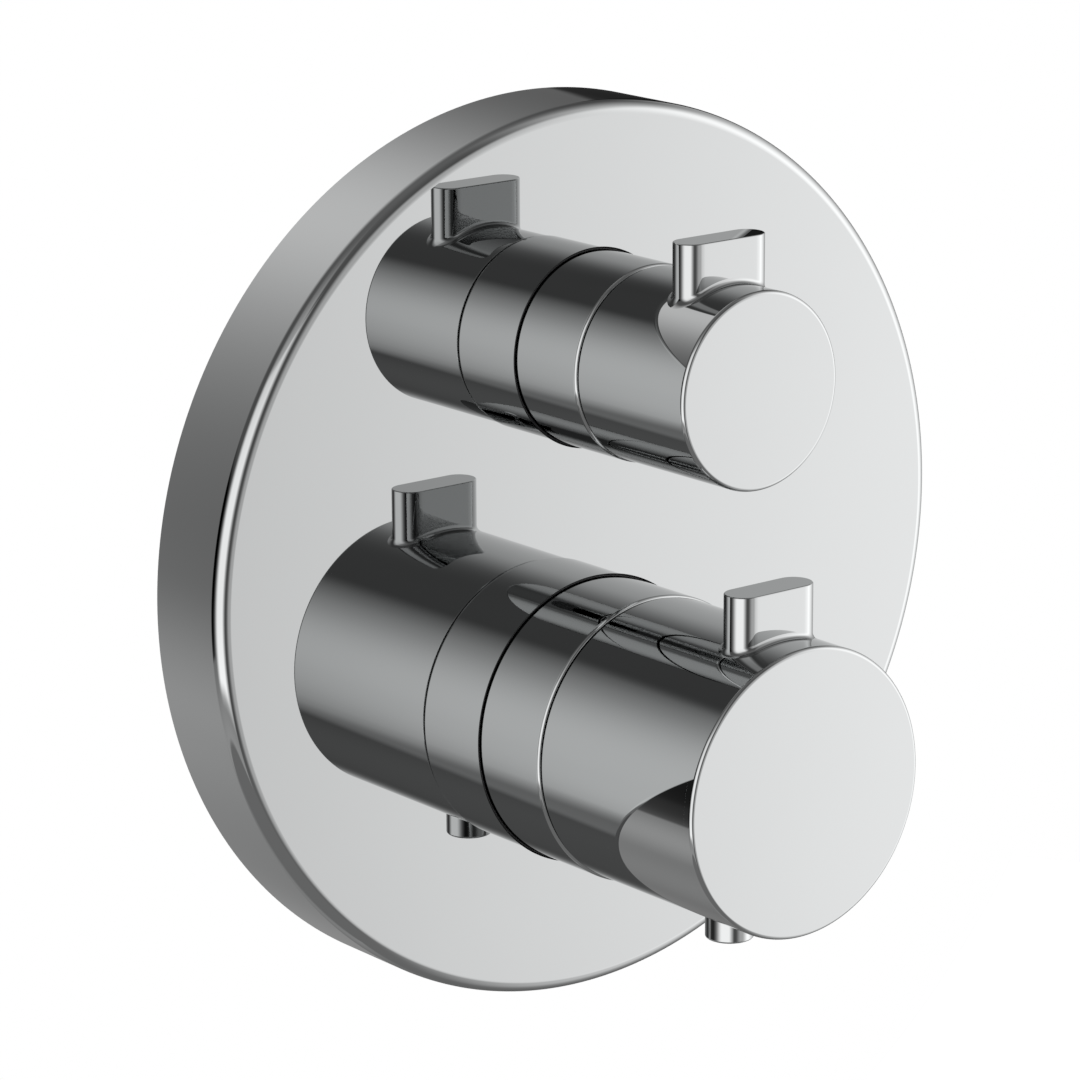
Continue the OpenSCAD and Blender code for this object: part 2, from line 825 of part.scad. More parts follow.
module thermostat_cage() {
    floor_reach = thermo_floor + cage_gap;
    color("darkkhaki") on_axis(lower_axis_h) difference() {
        rod(thermo_cage_r, floor_reach, skirt_reach - fit_gap);
        rod(thermo_cage_in_r, floor_reach + cage_floor_t, 0);
        rod(cage_outflow_r, floor_reach - over, 0);
        for (reach = [cold_annulus, hot_annulus, mixed_annulus]) windows(thermo_cage_r, reach);
        cage_rings(thermo_pocket_r, o_ring_r + run_gap, thermo_ring_reaches);
    }
}

module thermostat_o_rings() {
    color("black") on_axis(lower_axis_h) cage_rings(thermo_pocket_r, o_ring_r, thermo_ring_reaches);
}

// The bonnet screws into the body, keys the regulating nut and carries the sleeve and the stop ring
module thermostat_bonnet() {
    color("goldenrod") on_axis(lower_axis_h) difference() {
        union() {
            rod(thermo_pocket_r - run_gap, skirt_reach, boss_reach + over);
            rod(bonnet_tail_r, bonnet_tail_reach, skirt_reach + over);
            prism(bonnet_hex_r, 6, boss_reach, bonnet_hex_top);
            rod(bonnet_nose_r, bonnet_hex_top - over, stop_ring_back);
            translate([0, 0, stop_ring_back - over]) linear_extrude(lower_nose - stop_ring_back + over)
                spline(nose_spline_r, nose_teeth);
        }
        prism(chamber_hex_r, 6, bonnet_tail_reach - over, 0);
        rod(spindle_bore_r, -over, lower_nose + over);
        tube(nose_spline_r + over, nose_spline_r - clip_groove, clip_reach, clip_reach + clip_t);
    }
}

module stop_ring() {
    catch_half = asin(catch_w / 2 / catch_rest_r);
    color("ivory") on_axis(lower_axis_h) translate([0, 0, stop_ring_back]) difference() {
        union() {
            rod(stop_track_r, 0, stop_ring_len);
            scale([1, 1, stop_ring_len]) {
                sector(stop_r, stop_track_r - over, 90 + hot_turn + catch_half + stop_edge_gap,
                    450 - cold_turn - catch_half - stop_edge_gap);
                sector(lug_r, stop_track_r - over, 90 + catch_half + stop_edge_gap,
                    90 + catch_half + stop_edge_gap + safety_lug_deg);
            }
        }
        translate([0, 0, -over]) linear_extrude(stop_ring_len + 2 * over)
            spline(nose_spline_r + fit_gap, nose_teeth);
    }
}

module stop_ring_clip() {
    color("silver") on_axis(lower_axis_h) difference() {
        tube(nose_spline_r + clip_rim, nose_spline_r - clip_groove + run_gap, clip_reach,
            clip_reach + clip_t - run_gap);
        translate([-clip_mouth_w / 2, -nose_spline_r - clip_rim - over, clip_reach - over])
            cube([clip_mouth_w, nose_spline_r + clip_rim, clip_t + 2 * over]);
    }
}

module return_spring() {
    color("silver") on_axis(lower_axis_h)
        coil(return_mean_r, return_wire_r, thermo_floor + cage_gap + cage_floor_t + fit_gap,
            shuttle_web - shuttle_web_t - fit_gap, return_turns);
}

// The slide valve between the hot and the cold seats
module shuttle() {
    web_back = shuttle_web - shuttle_web_t;
    color("ivory") on_axis(lower_axis_h) difference() {
        union() {
            tube(shuttle_r, shuttle_r - shuttle_wall, shuttle_front - shuttle_len, shuttle_front);
            rod(shuttle_r - shuttle_wall / 2, web_back, shuttle_web);
        }
        rod(wax_bulb_r + fit_gap, web_back - over, shuttle_web + over);
        for (i = [0 : shuttle_holes - 1]) rotate([0, 0, i * 360 / shuttle_holes])
            translate([shuttle_hole_at, 0, 0]) rod(shuttle_hole_r, web_back - over, shuttle_web + over);
        o_ring(shuttle_seal_at, o_ring_r, shuttle_front - shuttle_len / 2);
    }
}

module shuttle_seal() {
    color("black") on_axis(lower_axis_h)
        o_ring(shuttle_seal_at, o_ring_r - run_gap / 2, shuttle_front - shuttle_len / 2);
}

// Wax thermostat: its pin pushes on the piston seat and its flange rests on the shuttle's web
module wax_element() {
    color("peru") on_axis(lower_axis_h) {
        rod(wax_pin_r, shuttle_web, seat_reach);
        rod(wax_guide_r, shuttle_web, shuttle_web + wax_guide_len);
        rod(wax_flange_r, shuttle_web, shuttle_web + wax_flange_t);
        mirror([0, 0, 1]) round_rod(wax_bulb_r, -shuttle_web, -shuttle_web + wax_bulb_len, wax_bulb_edge_r);
    }
}

module piston_seat() {
    color("silver") on_axis(lower_axis_h) rod(regulating_cup_r - fit_gap, seat_reach, seat_reach + seat_t);
}

module overload_spring() {
    color("silver") on_axis(lower_axis_h)
        coil(overload_mean_r, overload_wire_r, seat_reach + seat_t + fit_gap,
            regulating_reach - regulating_web - fit_gap, overload_turns);
}

// A keyed nut that the spindle's thread drives in and out, with a cup for the overload spring
module regulating_nut() {
    back = regulating_reach - regulating_len;
    color("goldenrod") on_axis(lower_axis_h) difference() {
        prism(chamber_hex_r - nut_key_gap, 6, back, regulating_reach);
        rod(spindle_tail_r + run_gap, back, regulating_reach + over);
        rod(regulating_cup_r, back + regulating_lip_t, regulating_reach - regulating_web);
        rod(regulating_lip_r, back - over, regulating_reach - regulating_web);
    }
}

// The splined end of a spindle, tapped for the knob's screw
module spindle_end(from, hub, web) {
    difference() {
        union() {
            rod(spindle_r, from, hub - run_gap);
            translate([0, 0, hub - over]) linear_extrude(web - screw_floor - free_gap - hub + over)
                spline(spindle_spline_r, spindle_teeth);
        }
        rod(knob_screw_r + run_gap, web - knob_screw_len - over, web + over);
    }
}

module temperature_spindle() {
    color("goldenrod") on_axis(lower_axis_h) difference() {
        union() {
            spindle_end(-thrust_flange_t, lower_hub, lower_web);
            rod(thrust_flange_r, -thrust_flange_t, -run_gap);
            rod(spindle_tail_r, spindle_tail_reach, -thrust_flange_t);
        }
        o_ring(spindle_r - spindle_ring_r, spindle_ring_r + run_gap, bonnet_hex_top + o_ring_groove);
    }
}

module temperature_spindle_seal() {
    color("black") on_axis(lower_axis_h)
        o_ring(spindle_r - spindle_ring_r, spindle_ring_r, bonnet_hex_top + o_ring_groove);
}

// A knob's shell, web and hub, without its fin
module knob_shell(r, web) {
    difference() {
        union() {
            tube(r, r - knob_wall, knob_back, web + cap_recess);
            rod(r - knob_wall / 2, web - web_t, web);
            rod(insert_r + hub_wall, web - web_t - hub_len, web);
        }
        prism(insert_r + fit_gap, insert_sides, web - web_t - hub_len - over, web + over);
    }
}

// A fin on a knob of radius r: a strip with round ends that stands up from the knob's wall
module fin(r, reach, w, t, h) {
    translate([0, 0, reach - t / 2]) rotate([-90, 0, 0]) translate([0, 0, r - knob_wall])
        linear_extrude(knob_wall + h) strip(w, t);
}

module knob_cap(r, reach) {
    round_rod(r, reach - cap_t, reach, cap_edge_r);
    tube(r - knob_wall - run_gap, r - knob_wall - skirt_wall, reach - cap_t - skirt_len, reach - cap_t);
}

module knob_insert(hub, web) {
    difference() {
        prism(insert_r, insert_sides, hub, web);
        translate([0, 0, hub - over]) linear_extrude(web - screw_floor - hub + over)
            spline(spindle_spline_r + run_gap, spindle_teeth);
        rod(knob_screw_r + run_gap, web - screw_floor - over, web + over);
    }
}

module knob_screw(web) {
    difference() {
        union() {
            rod(knob_screw_r, web - knob_screw_len, web);
            rod(knob_screw_head_r, web, web + knob_screw_head_h);
        }
        prism(drive_r, drive_sides, web + knob_screw_head_h - drive_depth, web + knob_screw_head_h + over);
    }
}

module lower_knob() {
    color("gainsboro") on_axis(lower_axis_h) difference() {
        union() {
            knob_shell(lower_knob_r, lower_web);
            fin(lower_knob_r, lower_reach - lower_fin_back, lower_fin_w, lower_fin_t, lower_fin_h);
        }
        translate([0, 0, button_reach]) rotate([90, 0, 0])
            rod(button_r + run_gap, yoke_out_r, lower_knob_r + over);
    }
}

module lower_knob_cap() {
    color("gainsboro") on_axis(lower_axis_h) knob_cap(lower_knob_r, lower_reach);
}

module lower_knob_insert() {
    color("dimgray") on_axis(lower_axis_h) knob_insert(lower_hub, lower_web);
}

module lower_knob_screw() {
    color("silver") on_axis(lower_axis_h) knob_screw(lower_web);
}

// The button, drawn with z down out of the knob
module safety_button() {
    low = lower_knob_r + button_drop;
    flange = sqrt(pow(lower_knob_in_r, 2) - pow(button_flange_r, 2)) - fit_gap;
    color("gainsboro") on_axis(lower_axis_h) translate([0, 0, button_reach]) rotate([90, 0, 0]) {
        round_rod(button_r, -yoke_low, low, button_edge_r);
        rod(button_flange_r, flange - button_flange_t, flange);
        rod(button_post_r, yoke_out_r - yoke_wall + button_travel, -yoke_low + over);
    }
}

// Outline round the stop ring that leaves room for the button's travel, grown outwards to radius r
module yoke_outline(r) {
    for (y = [0, -button_travel]) translate([0, y]) circle(r = r);
    translate([-r, -button_travel]) square([2 * r, button_travel]);
}

module button_yoke() {
    mid_r = yoke_out_r - yoke_wall / 2;
    color("dimgray") on_axis(lower_axis_h) translate([0, 0, button_reach - yoke_t / 2]) difference() {
        union() {
            linear_extrude(yoke_t) difference() {
                yoke_outline(yoke_out_r);
                yoke_outline(yoke_in_r);
            }
            translate([-catch_w / 2, catch_rest_r, 0]) cube([catch_w, mid_r - catch_rest_r, yoke_t]);
            translate([0, 0, yoke_t / 2]) rotate([-90, 0, 0])
                rod(button_pin_r, mid_r, yoke_out_r + button_pin_len);
        }
        translate([0, 0, yoke_t / 2]) rotate([90, 0, 0])
            rod(button_post_r + run_gap, yoke_in_r / 2, lower_knob_r);
    }
}

module button_spring() {
    color("silver") on_axis(lower_axis_h) translate([0, 0, button_reach]) rotate([-90, 0, 0])
        coil(button_spring_mean_r, button_spring_wire_r, yoke_out_r + fit_gap,
            sqrt(pow(lower_knob_in_r, 2) - pow(button_spring_mean_r + button_spring_wire_r, 2)) - fit_gap,
            button_spring_turns);
}

module diverter_cage() {
    back = diverter_floor + fit_gap;
    color("darkkhaki") on_axis(upper_axis_h) difference() {
        tube(diverter_cage_r, diverter_cage_in_r, back, skirt_reach - fit_gap);
        windows(diverter_cage_r, diverter_annulus);
        cage_rings(diverter_pocket_r, o_ring_r + run_gap, diverter_ring_reaches);
    }
}

module diverter_o_rings() {
    color("black") on_axis(upper_axis_h) cage_rings(diverter_pocket_r, o_ring_r, diverter_ring_reaches);
}

module diverter_bonnet() {
    color("goldenrod") on_axis(upper_axis_h) difference() {
        union() {
            rod(diverter_pocket_r - run_gap, skirt_reach, boss_reach + over);
            prism(diverter_hex_r, 6, boss_reach, bonnet_hex_top);
            rod(diverter_nose_r, bonnet_hex_top - over, upper_nose);
        }
        rod(spindle_bore_r, skirt_reach - over, upper_nose + over);
    }
}

// A curved opening through a disc, its middle at an angle
module kidney(mid, z0, z1) {
    translate([0, 0, z0]) scale([1, 1, z1 - z0])
        sector(kidney_at + kidney_w / 2, kidney_at - kidney_w / 2,
            mid - kidney_half_deg, mid + kidney_half_deg);
}

// Two curved openings, left and right
module kidneys(z0, z1) {
    for (mid = [0, 180]) kidney(mid, z0, z1);
}

module disc_gasket() {
    color("black") on_axis(upper_axis_h) difference() {
        rod(diverter_cage_in_r - disc_rim_gap, diverter_floor, fixed_disc_back);
        kidneys(diverter_floor - over, fixed_disc_back + over);
    }
}

module fixed_disc() {
    color("whitesmoke") on_axis(upper_axis_h) difference() {
        rod(disc_r, fixed_disc_back, turning_disc_back);
        kidneys(fixed_disc_back - over, turning_disc_back + over);
    }
}

// One opening, upright with the handle shut, that turns onto one outlet or the other
module turning_disc() {
    color("whitesmoke") on_axis(upper_axis_h) difference() {
        rod(disc_r, turning_disc_back, driver_back);
        kidney(90, turning_disc_back - over, driver_back + over);
        translate([-driver_r, -driver_lug_w / 2 - lug_gap, driver_back - driver_lug_h])
            cube([2 * driver_r, driver_lug_w + 2 * lug_gap, driver_lug_h + over]);
    }
}

module diverter_spindle() {
    color("goldenrod") on_axis(upper_axis_h) difference() {
        union() {
            spindle_end(skirt_reach - fit_gap, upper_hub, upper_web);
            intersection() {
                rod(driver_r - free_gap, driver_back, driver_back + driver_t);
                translate([-driver_r, -driver_r, driver_back])
                    cube([2 * driver_r, driver_r + driver_lug_w, driver_t]);
            }
            intersection() {
                rod(driver_r - free_gap, driver_back - driver_lug_h + lug_gap, driver_back + over);
                translate([-driver_r, -driver_lug_w / 2, driver_back - driver_lug_h])
                    cube([2 * driver_r, driver_lug_w, driver_lug_h + over]);
            }
            rod(driver_collar_r, driver_back, skirt_reach - fit_gap);
        }
        o_ring(spindle_r - spindle_ring_r, spindle_ring_r + run_gap, boss_reach);
    }
}

module diverter_spindle_seal() {
    color("black") on_axis(upper_axis_h) o_ring(spindle_r - spindle_ring_r, spindle_ring_r, boss_reach);
}

module upper_knob() {
    color("gainsboro") on_axis(upper_axis_h) {
        knob_shell(upper_knob_r, upper_web);
        fin(upper_knob_r, upper_reach - upper_fin_back, upper_fin_w, upper_fin_t, upper_fin_h);
    }
}

module upper_knob_cap() {
    color("gainsboro") on_axis(upper_axis_h) knob_cap(upper_knob_r, upper_reach);
}

module upper_knob_insert() {
    color("dimgray") on_axis(upper_axis_h) knob_insert(upper_hub, upper_web);
}

module upper_knob_screw() {
    color("silver") on_axis(upper_axis_h) knob_screw(upper_web);
}

cover_plate();
wall_seal();
plate_carrier();
carrier_grip_ring();
carrier_screws();
upper_sleeve();
lower_sleeve();
upper_sleeve_nut();
lower_sleeve_nut();
sleeve_o_rings();
valve_body();
wall_bracket();
bracket_screws();
hot_strainer();
cold_strainer();
hot_check_cage();
cold_check_cage();
hot_check_poppet();
cold_check_poppet();
hot_check_spring();
cold_check_spring();
thermostat_cage();
thermostat_bonnet();
thermostat_o_rings();
stop_ring();
stop_ring_clip();
return_spring();
shuttle();
shuttle_seal();
wax_element();
piston_seat();
overload_spring();
regulating_nut();
temperature_spindle();
temperature_spindle_seal();
lower_knob();
lower_knob_cap();
lower_knob_insert();
lower_knob_screw();
safety_button();
button_yoke();
button_spring();
diverter_cage();
diverter_bonnet();
diverter_o_rings();
disc_gasket();
fixed_disc();
turning_disc();
diverter_spindle();
diverter_spindle_seal();
upper_knob();
upper_knob_cap();
upper_knob_insert();
upper_knob_screw();
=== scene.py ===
"""Dresses a wall-sunk thermostatic shower valve and sets it in a plain studio.

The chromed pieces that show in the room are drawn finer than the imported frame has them, and every
other piece of the frame gets the finish of its material. Lengths are in metres, the wall's
finished face is the plane y = 0, the room is at -y and up is +z. Round pieces are drawn along z,
with z as the reach out of the wall, and then laid on their handle's axis.
"""

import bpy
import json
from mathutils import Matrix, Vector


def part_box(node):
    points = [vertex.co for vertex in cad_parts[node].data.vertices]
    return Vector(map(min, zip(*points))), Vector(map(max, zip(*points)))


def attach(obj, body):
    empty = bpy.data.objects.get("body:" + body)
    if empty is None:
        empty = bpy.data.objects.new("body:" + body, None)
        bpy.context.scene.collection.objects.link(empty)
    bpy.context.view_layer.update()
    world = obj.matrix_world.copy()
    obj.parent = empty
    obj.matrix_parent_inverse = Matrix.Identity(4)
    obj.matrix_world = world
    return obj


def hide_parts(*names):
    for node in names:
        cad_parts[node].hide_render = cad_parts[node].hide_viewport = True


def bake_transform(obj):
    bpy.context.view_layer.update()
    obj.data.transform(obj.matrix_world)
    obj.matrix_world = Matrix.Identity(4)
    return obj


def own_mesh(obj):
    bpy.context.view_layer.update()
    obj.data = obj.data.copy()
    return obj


bl_info = {
    "name": "Concealed Shower Valve",
    "version": (1, 0, 0),
    "blender": (4, 5, 0),
    "location": "3D View > Sidebar > Shower Valve",
    "description": "Dresses a wall-sunk thermostatic shower valve and sets it in a plain studio",
    "category": "Add Mesh",
}

import json
from math import acos, cos, degrees, hypot, pi, radians, sin, sqrt

import bmesh
import bpy
from bpy.props import FloatProperty, FloatVectorProperty, IntProperty, PointerProperty
from mathutils import Matrix, Vector

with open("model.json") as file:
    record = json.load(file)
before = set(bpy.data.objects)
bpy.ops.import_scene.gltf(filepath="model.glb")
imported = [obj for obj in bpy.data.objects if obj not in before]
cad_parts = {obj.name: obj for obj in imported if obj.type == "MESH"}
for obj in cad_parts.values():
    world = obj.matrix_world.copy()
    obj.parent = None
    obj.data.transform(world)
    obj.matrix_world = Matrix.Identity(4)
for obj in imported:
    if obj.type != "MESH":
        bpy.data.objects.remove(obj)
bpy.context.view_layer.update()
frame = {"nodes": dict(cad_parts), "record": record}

MM = 0.001
# Width of the flat strip beside a rounding, which keeps the face next to it flat in reflections
FLAT_STRIP = 0.02 * MM
# Points that lie closer than this are one point
MERGE = 0.002 * MM
# Edges that turn less than this are shaded smooth
SMOOTH_ANGLE = radians(25)
# How far the cutter of a hole reaches past the wall that it cuts
CLEAR = 5 * MM
# Points round a fin's outline, and cuts that divide each of its flat sides
FIN_FACETS = 66
FIN_CUTS = 17
# Rounding of a spring's wire, which has twice as many faces round it, and four more
WIRE_ROUNDING = 4


def corner(node, end, axis):
    """One coordinate of a frame node's box: end 0 is the lowest corner, 1 the highest."""
    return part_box(node)[end][axis]


# Heights of the two handles' axes, read from the sleeves
UPPER_AXIS = (corner("upper_sleeve", 0, 2) + corner("upper_sleeve", 1, 2)) / 2
LOWER_AXIS = (corner("lower_sleeve", 0, 2) + corner("lower_sleeve", 1, 2)) / 2
# The body that each handle turns with, and the height of its axis
HANDLES = {"upper": ("diverter_knob", UPPER_AXIS), "lower": ("temperature_knob", LOWER_AXIS)}


def length(name, description, value):
    """A length property, its default in metres."""
    return FloatProperty(name=name, description=description, default=value, min=0, precision=5,
                         unit="LENGTH")


def count(name, description, value, least=1):
    """A property that counts something."""
    return IntProperty(name=name, description=description, default=value, min=least)


def angle(name, description, value):
    """An angle property, its default in degrees."""
    return FloatProperty(name=name, description=description, default=radians(value),
                         subtype="ANGLE", unit="ROTATION")


def tint(name, description, value):
    """A colour property."""
    return FloatVectorProperty(name=name, description=description, default=value, size=3,
                               min=0, max=1, subtype="COLOR")


class CoverSizes(bpy.types.PropertyGroup):
    """Sizes of the cover plate and the two sleeves on it."""
    plate_radius: length("Plate Radius", "Radius of the cover plate", corner("cover_plate", 1, 0))
    plate_depth: length("Plate Depth", "How far the plate stands off the wall",
                        -corner("cover_plate", 0, 1))
    plate_edge: length("Plate Edge", "Rounding of the plate's front edge", 2.5 * MM)
    plate_wall: length("Plate Wall", "Wall of the plate's shell", 1.8 * MM)
    hole_gap: length("Hole Gap", "Gap round the sleeves in the plate's holes", 0.45 * MM)
    sleeve_reach: length("Sleeve Reach", "Reach of both sleeves out of the wall",
                         -corner("upper_sleeve", 0, 1))
    sleeve_start: length("Sleeve Start", "Reach at which both sleeves start",
                         -corner("upper_sleeve", 1, 1))
    upper_sleeve: length("Upper Sleeve", "Radius of the upper sleeve",
                         corner("upper_sleeve", 1, 0))
    lower_sleeve: length("Lower Sleeve", "Radius of the lower sleeve",
                         corner("lower_sleeve", 1, 0))
    sleeve_wall: length("Sleeve Wall", "Wall of both sleeves", 2 * MM)
    sleeve_web: length("Sleeve Web", "Thickness of the web that a sleeve's nut clamps", 3 * MM)
    front_edge: length("Front Edge", "Rounding of a sleeve's front edge", 0.65 * MM)
    ring_section: length("Ring Section", "Radius of the section of a sleeve's ring groove",
                         0.75 * MM)
    ring_inset: length("Ring Inset", "How far a ring's middle lies inside the plate's hole",
                       0.75 * MM)
    upper_nose: length("Upper Nose", "Hole in the upper sleeve's web", 9.6 * MM)
    lower_nose: length("Lower Nose", "Hole in the lower sleeve's web", 12.1 * MM)


class HandleSizes(bpy.types.PropertyGroup):
    """Sizes of the knobs, their fins and caps, and the safety button."""
    knob_back: length("Knob Back", "Reach of the back of both knobs", -corner("upper_knob", 1, 1))
    upper_radius: length("Upper Radius", "Radius of the upper knob", corner("upper_knob", 1, 0))
    lower_radius: length("Lower Radius", "Radius of the lower knob", corner("lower_knob", 1, 0))
    upper_reach: length("Upper Reach", "Reach of the upper knob's cap",
                        -corner("upper_knob_cap", 0, 1))
    lower_reach: length("Lower Reach", "Reach of the lower knob's cap",
                        -corner("lower_knob_cap", 0, 1))
    upper_top: length("Upper Top", "Height of the upper fin's top above its knob's axis",
                      corner("upper_knob", 1, 2) - UPPER_AXIS)
    lower_top: length("Lower Top", "Height of the lower fin's top above its knob's axis",
                      corner("lower_knob", 1, 2) - LOWER_AXIS)
    wall: length("Knob Wall", "Wall of both knobs", 2.2 * MM)
    web: length("Web", "Thickness of the web across a knob", 3 * MM)
    recess: length("Recess", "Depth of the space between a cap and the web behind it", 4.6 * MM)
    hub: length("Hub", "Length of a knob's hub", 6.3 * MM)
    hub_radius: length("Hub Radius", "Radius of a knob's hub", 9.6 * MM)
    hub_hole: length("Hub Hole", "Radius of the hole for the knob's insert", 7.7 * MM)
    back_edge: length("Back Edge", "Rounding of a knob's back edge", 0.15 * MM)
    cap: length("Cap", "Thickness of the end caps", 2 * MM)
    cap_edge: length("Cap Edge", "Rounding of the end caps' front edge", 0.75 * MM)
    skirt: length("Skirt", "Length of a cap's skirt", 3 * MM)
    skirt_wall: length("Skirt Wall", "Wall of a cap's skirt", 1.15 * MM)
    skirt_gap: length("Skirt Gap", "Room between a cap's skirt and its knob", 0.05 * MM)
    upper_fin_width: length("Upper Fin Width", "Width of the upper fin", 19.6 * MM)
    upper_fin_depth: length("Upper Fin Depth", "Thickness of the upper fin", 6.5 * MM)
    upper_fin_back: length("Upper Fin Back", "Distance of the upper fin behind its cap", 8.3 * MM)
    lower_fin_width: length("Lower Fin Width", "Width of the lower fin", 19 * MM)
    lower_fin_depth: length("Lower Fin Depth", "Thickness of the lower fin", 7 * MM)
    lower_fin_back: length("Lower Fin Back", "Distance of the lower fin behind its cap", 7.1 * MM)
    fin_foot: length("Fin Foot", "Hollow rounding where a fin grows out of its knob", 1 * MM)
    fin_edge: length("Fin Edge", "Rounding of a fin's top edge", 0.25 * MM)
    fin_root: length("Fin Root", "How deep a fin is set into its knob's wall", 0.8 * MM)
    foot_sink: length("Foot Sink", "How far the foot's rim lies under the knob's face", 0.02 * MM)
    button_radius: length("Button Radius", "Radius of the safety button", 4.5 * MM)
    button_reach: length("Button Reach", "Reach of the safety button's axis", 58.4 * MM)
    button_top: length("Button Top", "Depth of the button's top below the knob's axis", 22 * MM)
    button_edge: length("Button Edge", "Rounding of the button's edge", 0.4 * MM)
    button_gap: length("Button Gap", "Room round the button in the knob's wall", 0.05 * MM)
    flange_radius: length("Flange Radius", "Radius of the flange that holds the button in",
                          5.6 * MM)
    flange_low: length("Flange Low", "Depth of the flange's lower face below the axis",
                       24.11 * MM)
    flange: length("Flange", "Thickness of the button's flange", 1.2 * MM)
    post_radius: length("Post Radius", "Radius of the post in the yoke", 2 * MM)
    post: length("Post", "Length of the post in the yoke", 2.5 * MM)


class SpringSizes(bpy.types.PropertyGroup):
    """Wires and turns of the springs."""
    check_wire: length("Check Wire", "Radius of the wire of a check valve's spring", 0.35 * MM)
    check_turns: count("Check Turns", "Turns of a check valve's spring", 5)
    return_wire: length("Return Wire", "Radius of the return spring's wire", 0.7 * MM)
    return_turns: count("Return Turns", "Turns of the return spring", 5)
    button_wire: length("Button Wire", "Radius of the button spring's wire", 0.3 * MM)
    button_turns: count("Button Turns", "Turns of the button spring", 4)


class DrawingSteps(bpy.types.PropertyGroup):
    """How finely the round faces are drawn."""
    facets: count("Facets", "Facets round a turned piece", 192, least=24)
    drilled_facets: count("Drilled Facets", "Facets round the lower knob, which is drilled", 384,
                          least=24)
    plate_facets: count("Plate Facets", "Facets round the cover plate", 288, least=24)
    edge_steps: count("Edge Steps", "Steps in a rounded edge", 8, least=2)
    plate_edge_steps: count("Plate Edge Steps", "Steps in the cover plate's rounded edge", 16,
                            least=2)
    wire_steps: count("Wire Steps", "Steps of the wire in each turn of a spring", 32, least=8)


class FinishColours(bpy.types.PropertyGroup):
    """Colours of the finishes, as they are under a plain light."""
    chrome: tint("Chrome", "Polished chrome", (0.495, 0.502, 0.503))
    brass: tint("Brass", "Turned brass", (0.800, 0.590, 0.290))
    cast_brass: tint("Cast Brass", "Blasted skin of the cast body", (0.640, 0.470, 0.240))
    steel: tint("Steel", "Bright steel", (0.620, 0.620, 0.630))
    spring_steel: tint("Spring Steel", "Drawn spring wire", (0.480, 0.490, 0.510))
    copper: tint("Copper", "Copper of the wax element", (0.720, 0.380, 0.230))
    grey_plastic: tint("Grey Plastic", "Moulded grey plastic", (0.060, 0.063, 0.067))
    white_plastic: tint("White Plastic", "Moulded white plastic", (0.750, 0.750, 0.730))
    ivory_plastic: tint("Ivory Plastic", "Moulded bearing plastic", (0.720, 0.660, 0.480))
    tan_plastic: tint("Tan Plastic", "Moulded cartridge plastic", (0.320, 0.250, 0.130))
    red_plastic: tint("Red Plastic", "Moulded red plastic", (0.480, 0.025, 0.015))
    blue_plastic: tint("Blue Plastic", "Moulded blue plastic", (0.020, 0.080, 0.350))
    rubber: tint("Rubber", "Black rubber", (0.020, 0.020, 0.021))
    foam: tint("Foam", "Closed-cell foam", (0.050, 0.050, 0.052))
    ceramic: tint("Ceramic", "Lapped ceramic", (0.820, 0.815, 0.790))
    floor: tint("Floor", "Pale floor", (0.600, 0.600, 0.600))


class StudioSettings(bpy.types.PropertyGroup):
    """Where the camera, the floor and the lamps are."""
    azimuth: angle("Azimuth", "Turn of the camera to the left of the valve's front", -38.55)
    elevation: angle("Elevation", "Height of the camera above the level", 14.94)
    roll: angle("Roll", "Turn of the camera about its own axis", -0.31)
    place: FloatVectorProperty(name="Camera Place", description="Where the camera stands",
                               default=(-0.52892, -0.66693, 0.22584), subtype="TRANSLATION")
    lens: FloatProperty(name="Lens", description="Focal length in millimetres on a 36 mm frame",
                        default=154.7, min=1)
    floor_drop: length("Floor Drop", "How far the floor lies under the valve", 0.215)
    floor_radius: length("Floor Radius", "Radius of the floor", 0.46)
    wall_radius: length("Wall Radius", "Radius of the piece of wall round the cover plate", 0.16)
    lamp_distance: length("Lamp Distance", "Distance of the lamps from the valve", 1.5)
    lamp_size: length("Lamp Size", "Side of each square lamp", 0.9)
    lamp_power: FloatProperty(name="Lamp Power", description="Power of each lamp", default=9,
                              min=0, unit="POWER")


def sizes_of(group, prefix, *names):
    """Sizes of one handle or spring: those whose names start with its word."""
    return [getattr(group, f"{prefix}_{name}") for name in names]


def clear_selection():
    """Leave edit mode and select nothing."""
    if bpy.context.object and bpy.context.object.mode != "OBJECT":
        bpy.ops.object.mode_set(mode="OBJECT")
    bpy.ops.object.select_all(action="DESELECT")


def select_only(piece):
    """Select one piece alone and make it the active one."""
    clear_selection()
    piece.select_set(True)
    bpy.context.view_layer.objects.active = piece


def close_mesh():
    """Merge the doubled points of the mesh in edit mode, turn its faces outwards and leave it."""
    bpy.ops.mesh.select_all(action="SELECT")
    bpy.ops.mesh.remove_doubles(threshold=MERGE)
    bpy.ops.mesh.normals_make_consistent(inside=False)
    bpy.ops.object.mode_set(mode="OBJECT")


def rounded(radius, reach, edge, start, end, steps):
    """Points of an arc about a centre, from one angle in degrees to another."""
    turns = [radians(start + (end - start) * step / steps) for step in range(steps + 1)]
    return [(radius + edge * cos(turn), reach + edge * sin(turn)) for turn in turns]


def outer_edge(radius, reach, edge, steps):
    """Points of a rounded outer edge with a flat strip on each side of it."""
    return [(radius, reach - edge - FLAT_STRIP),
            *rounded(radius - edge, reach - edge, edge, 0, 90, steps),
            (radius - edge - FLAT_STRIP, reach)]


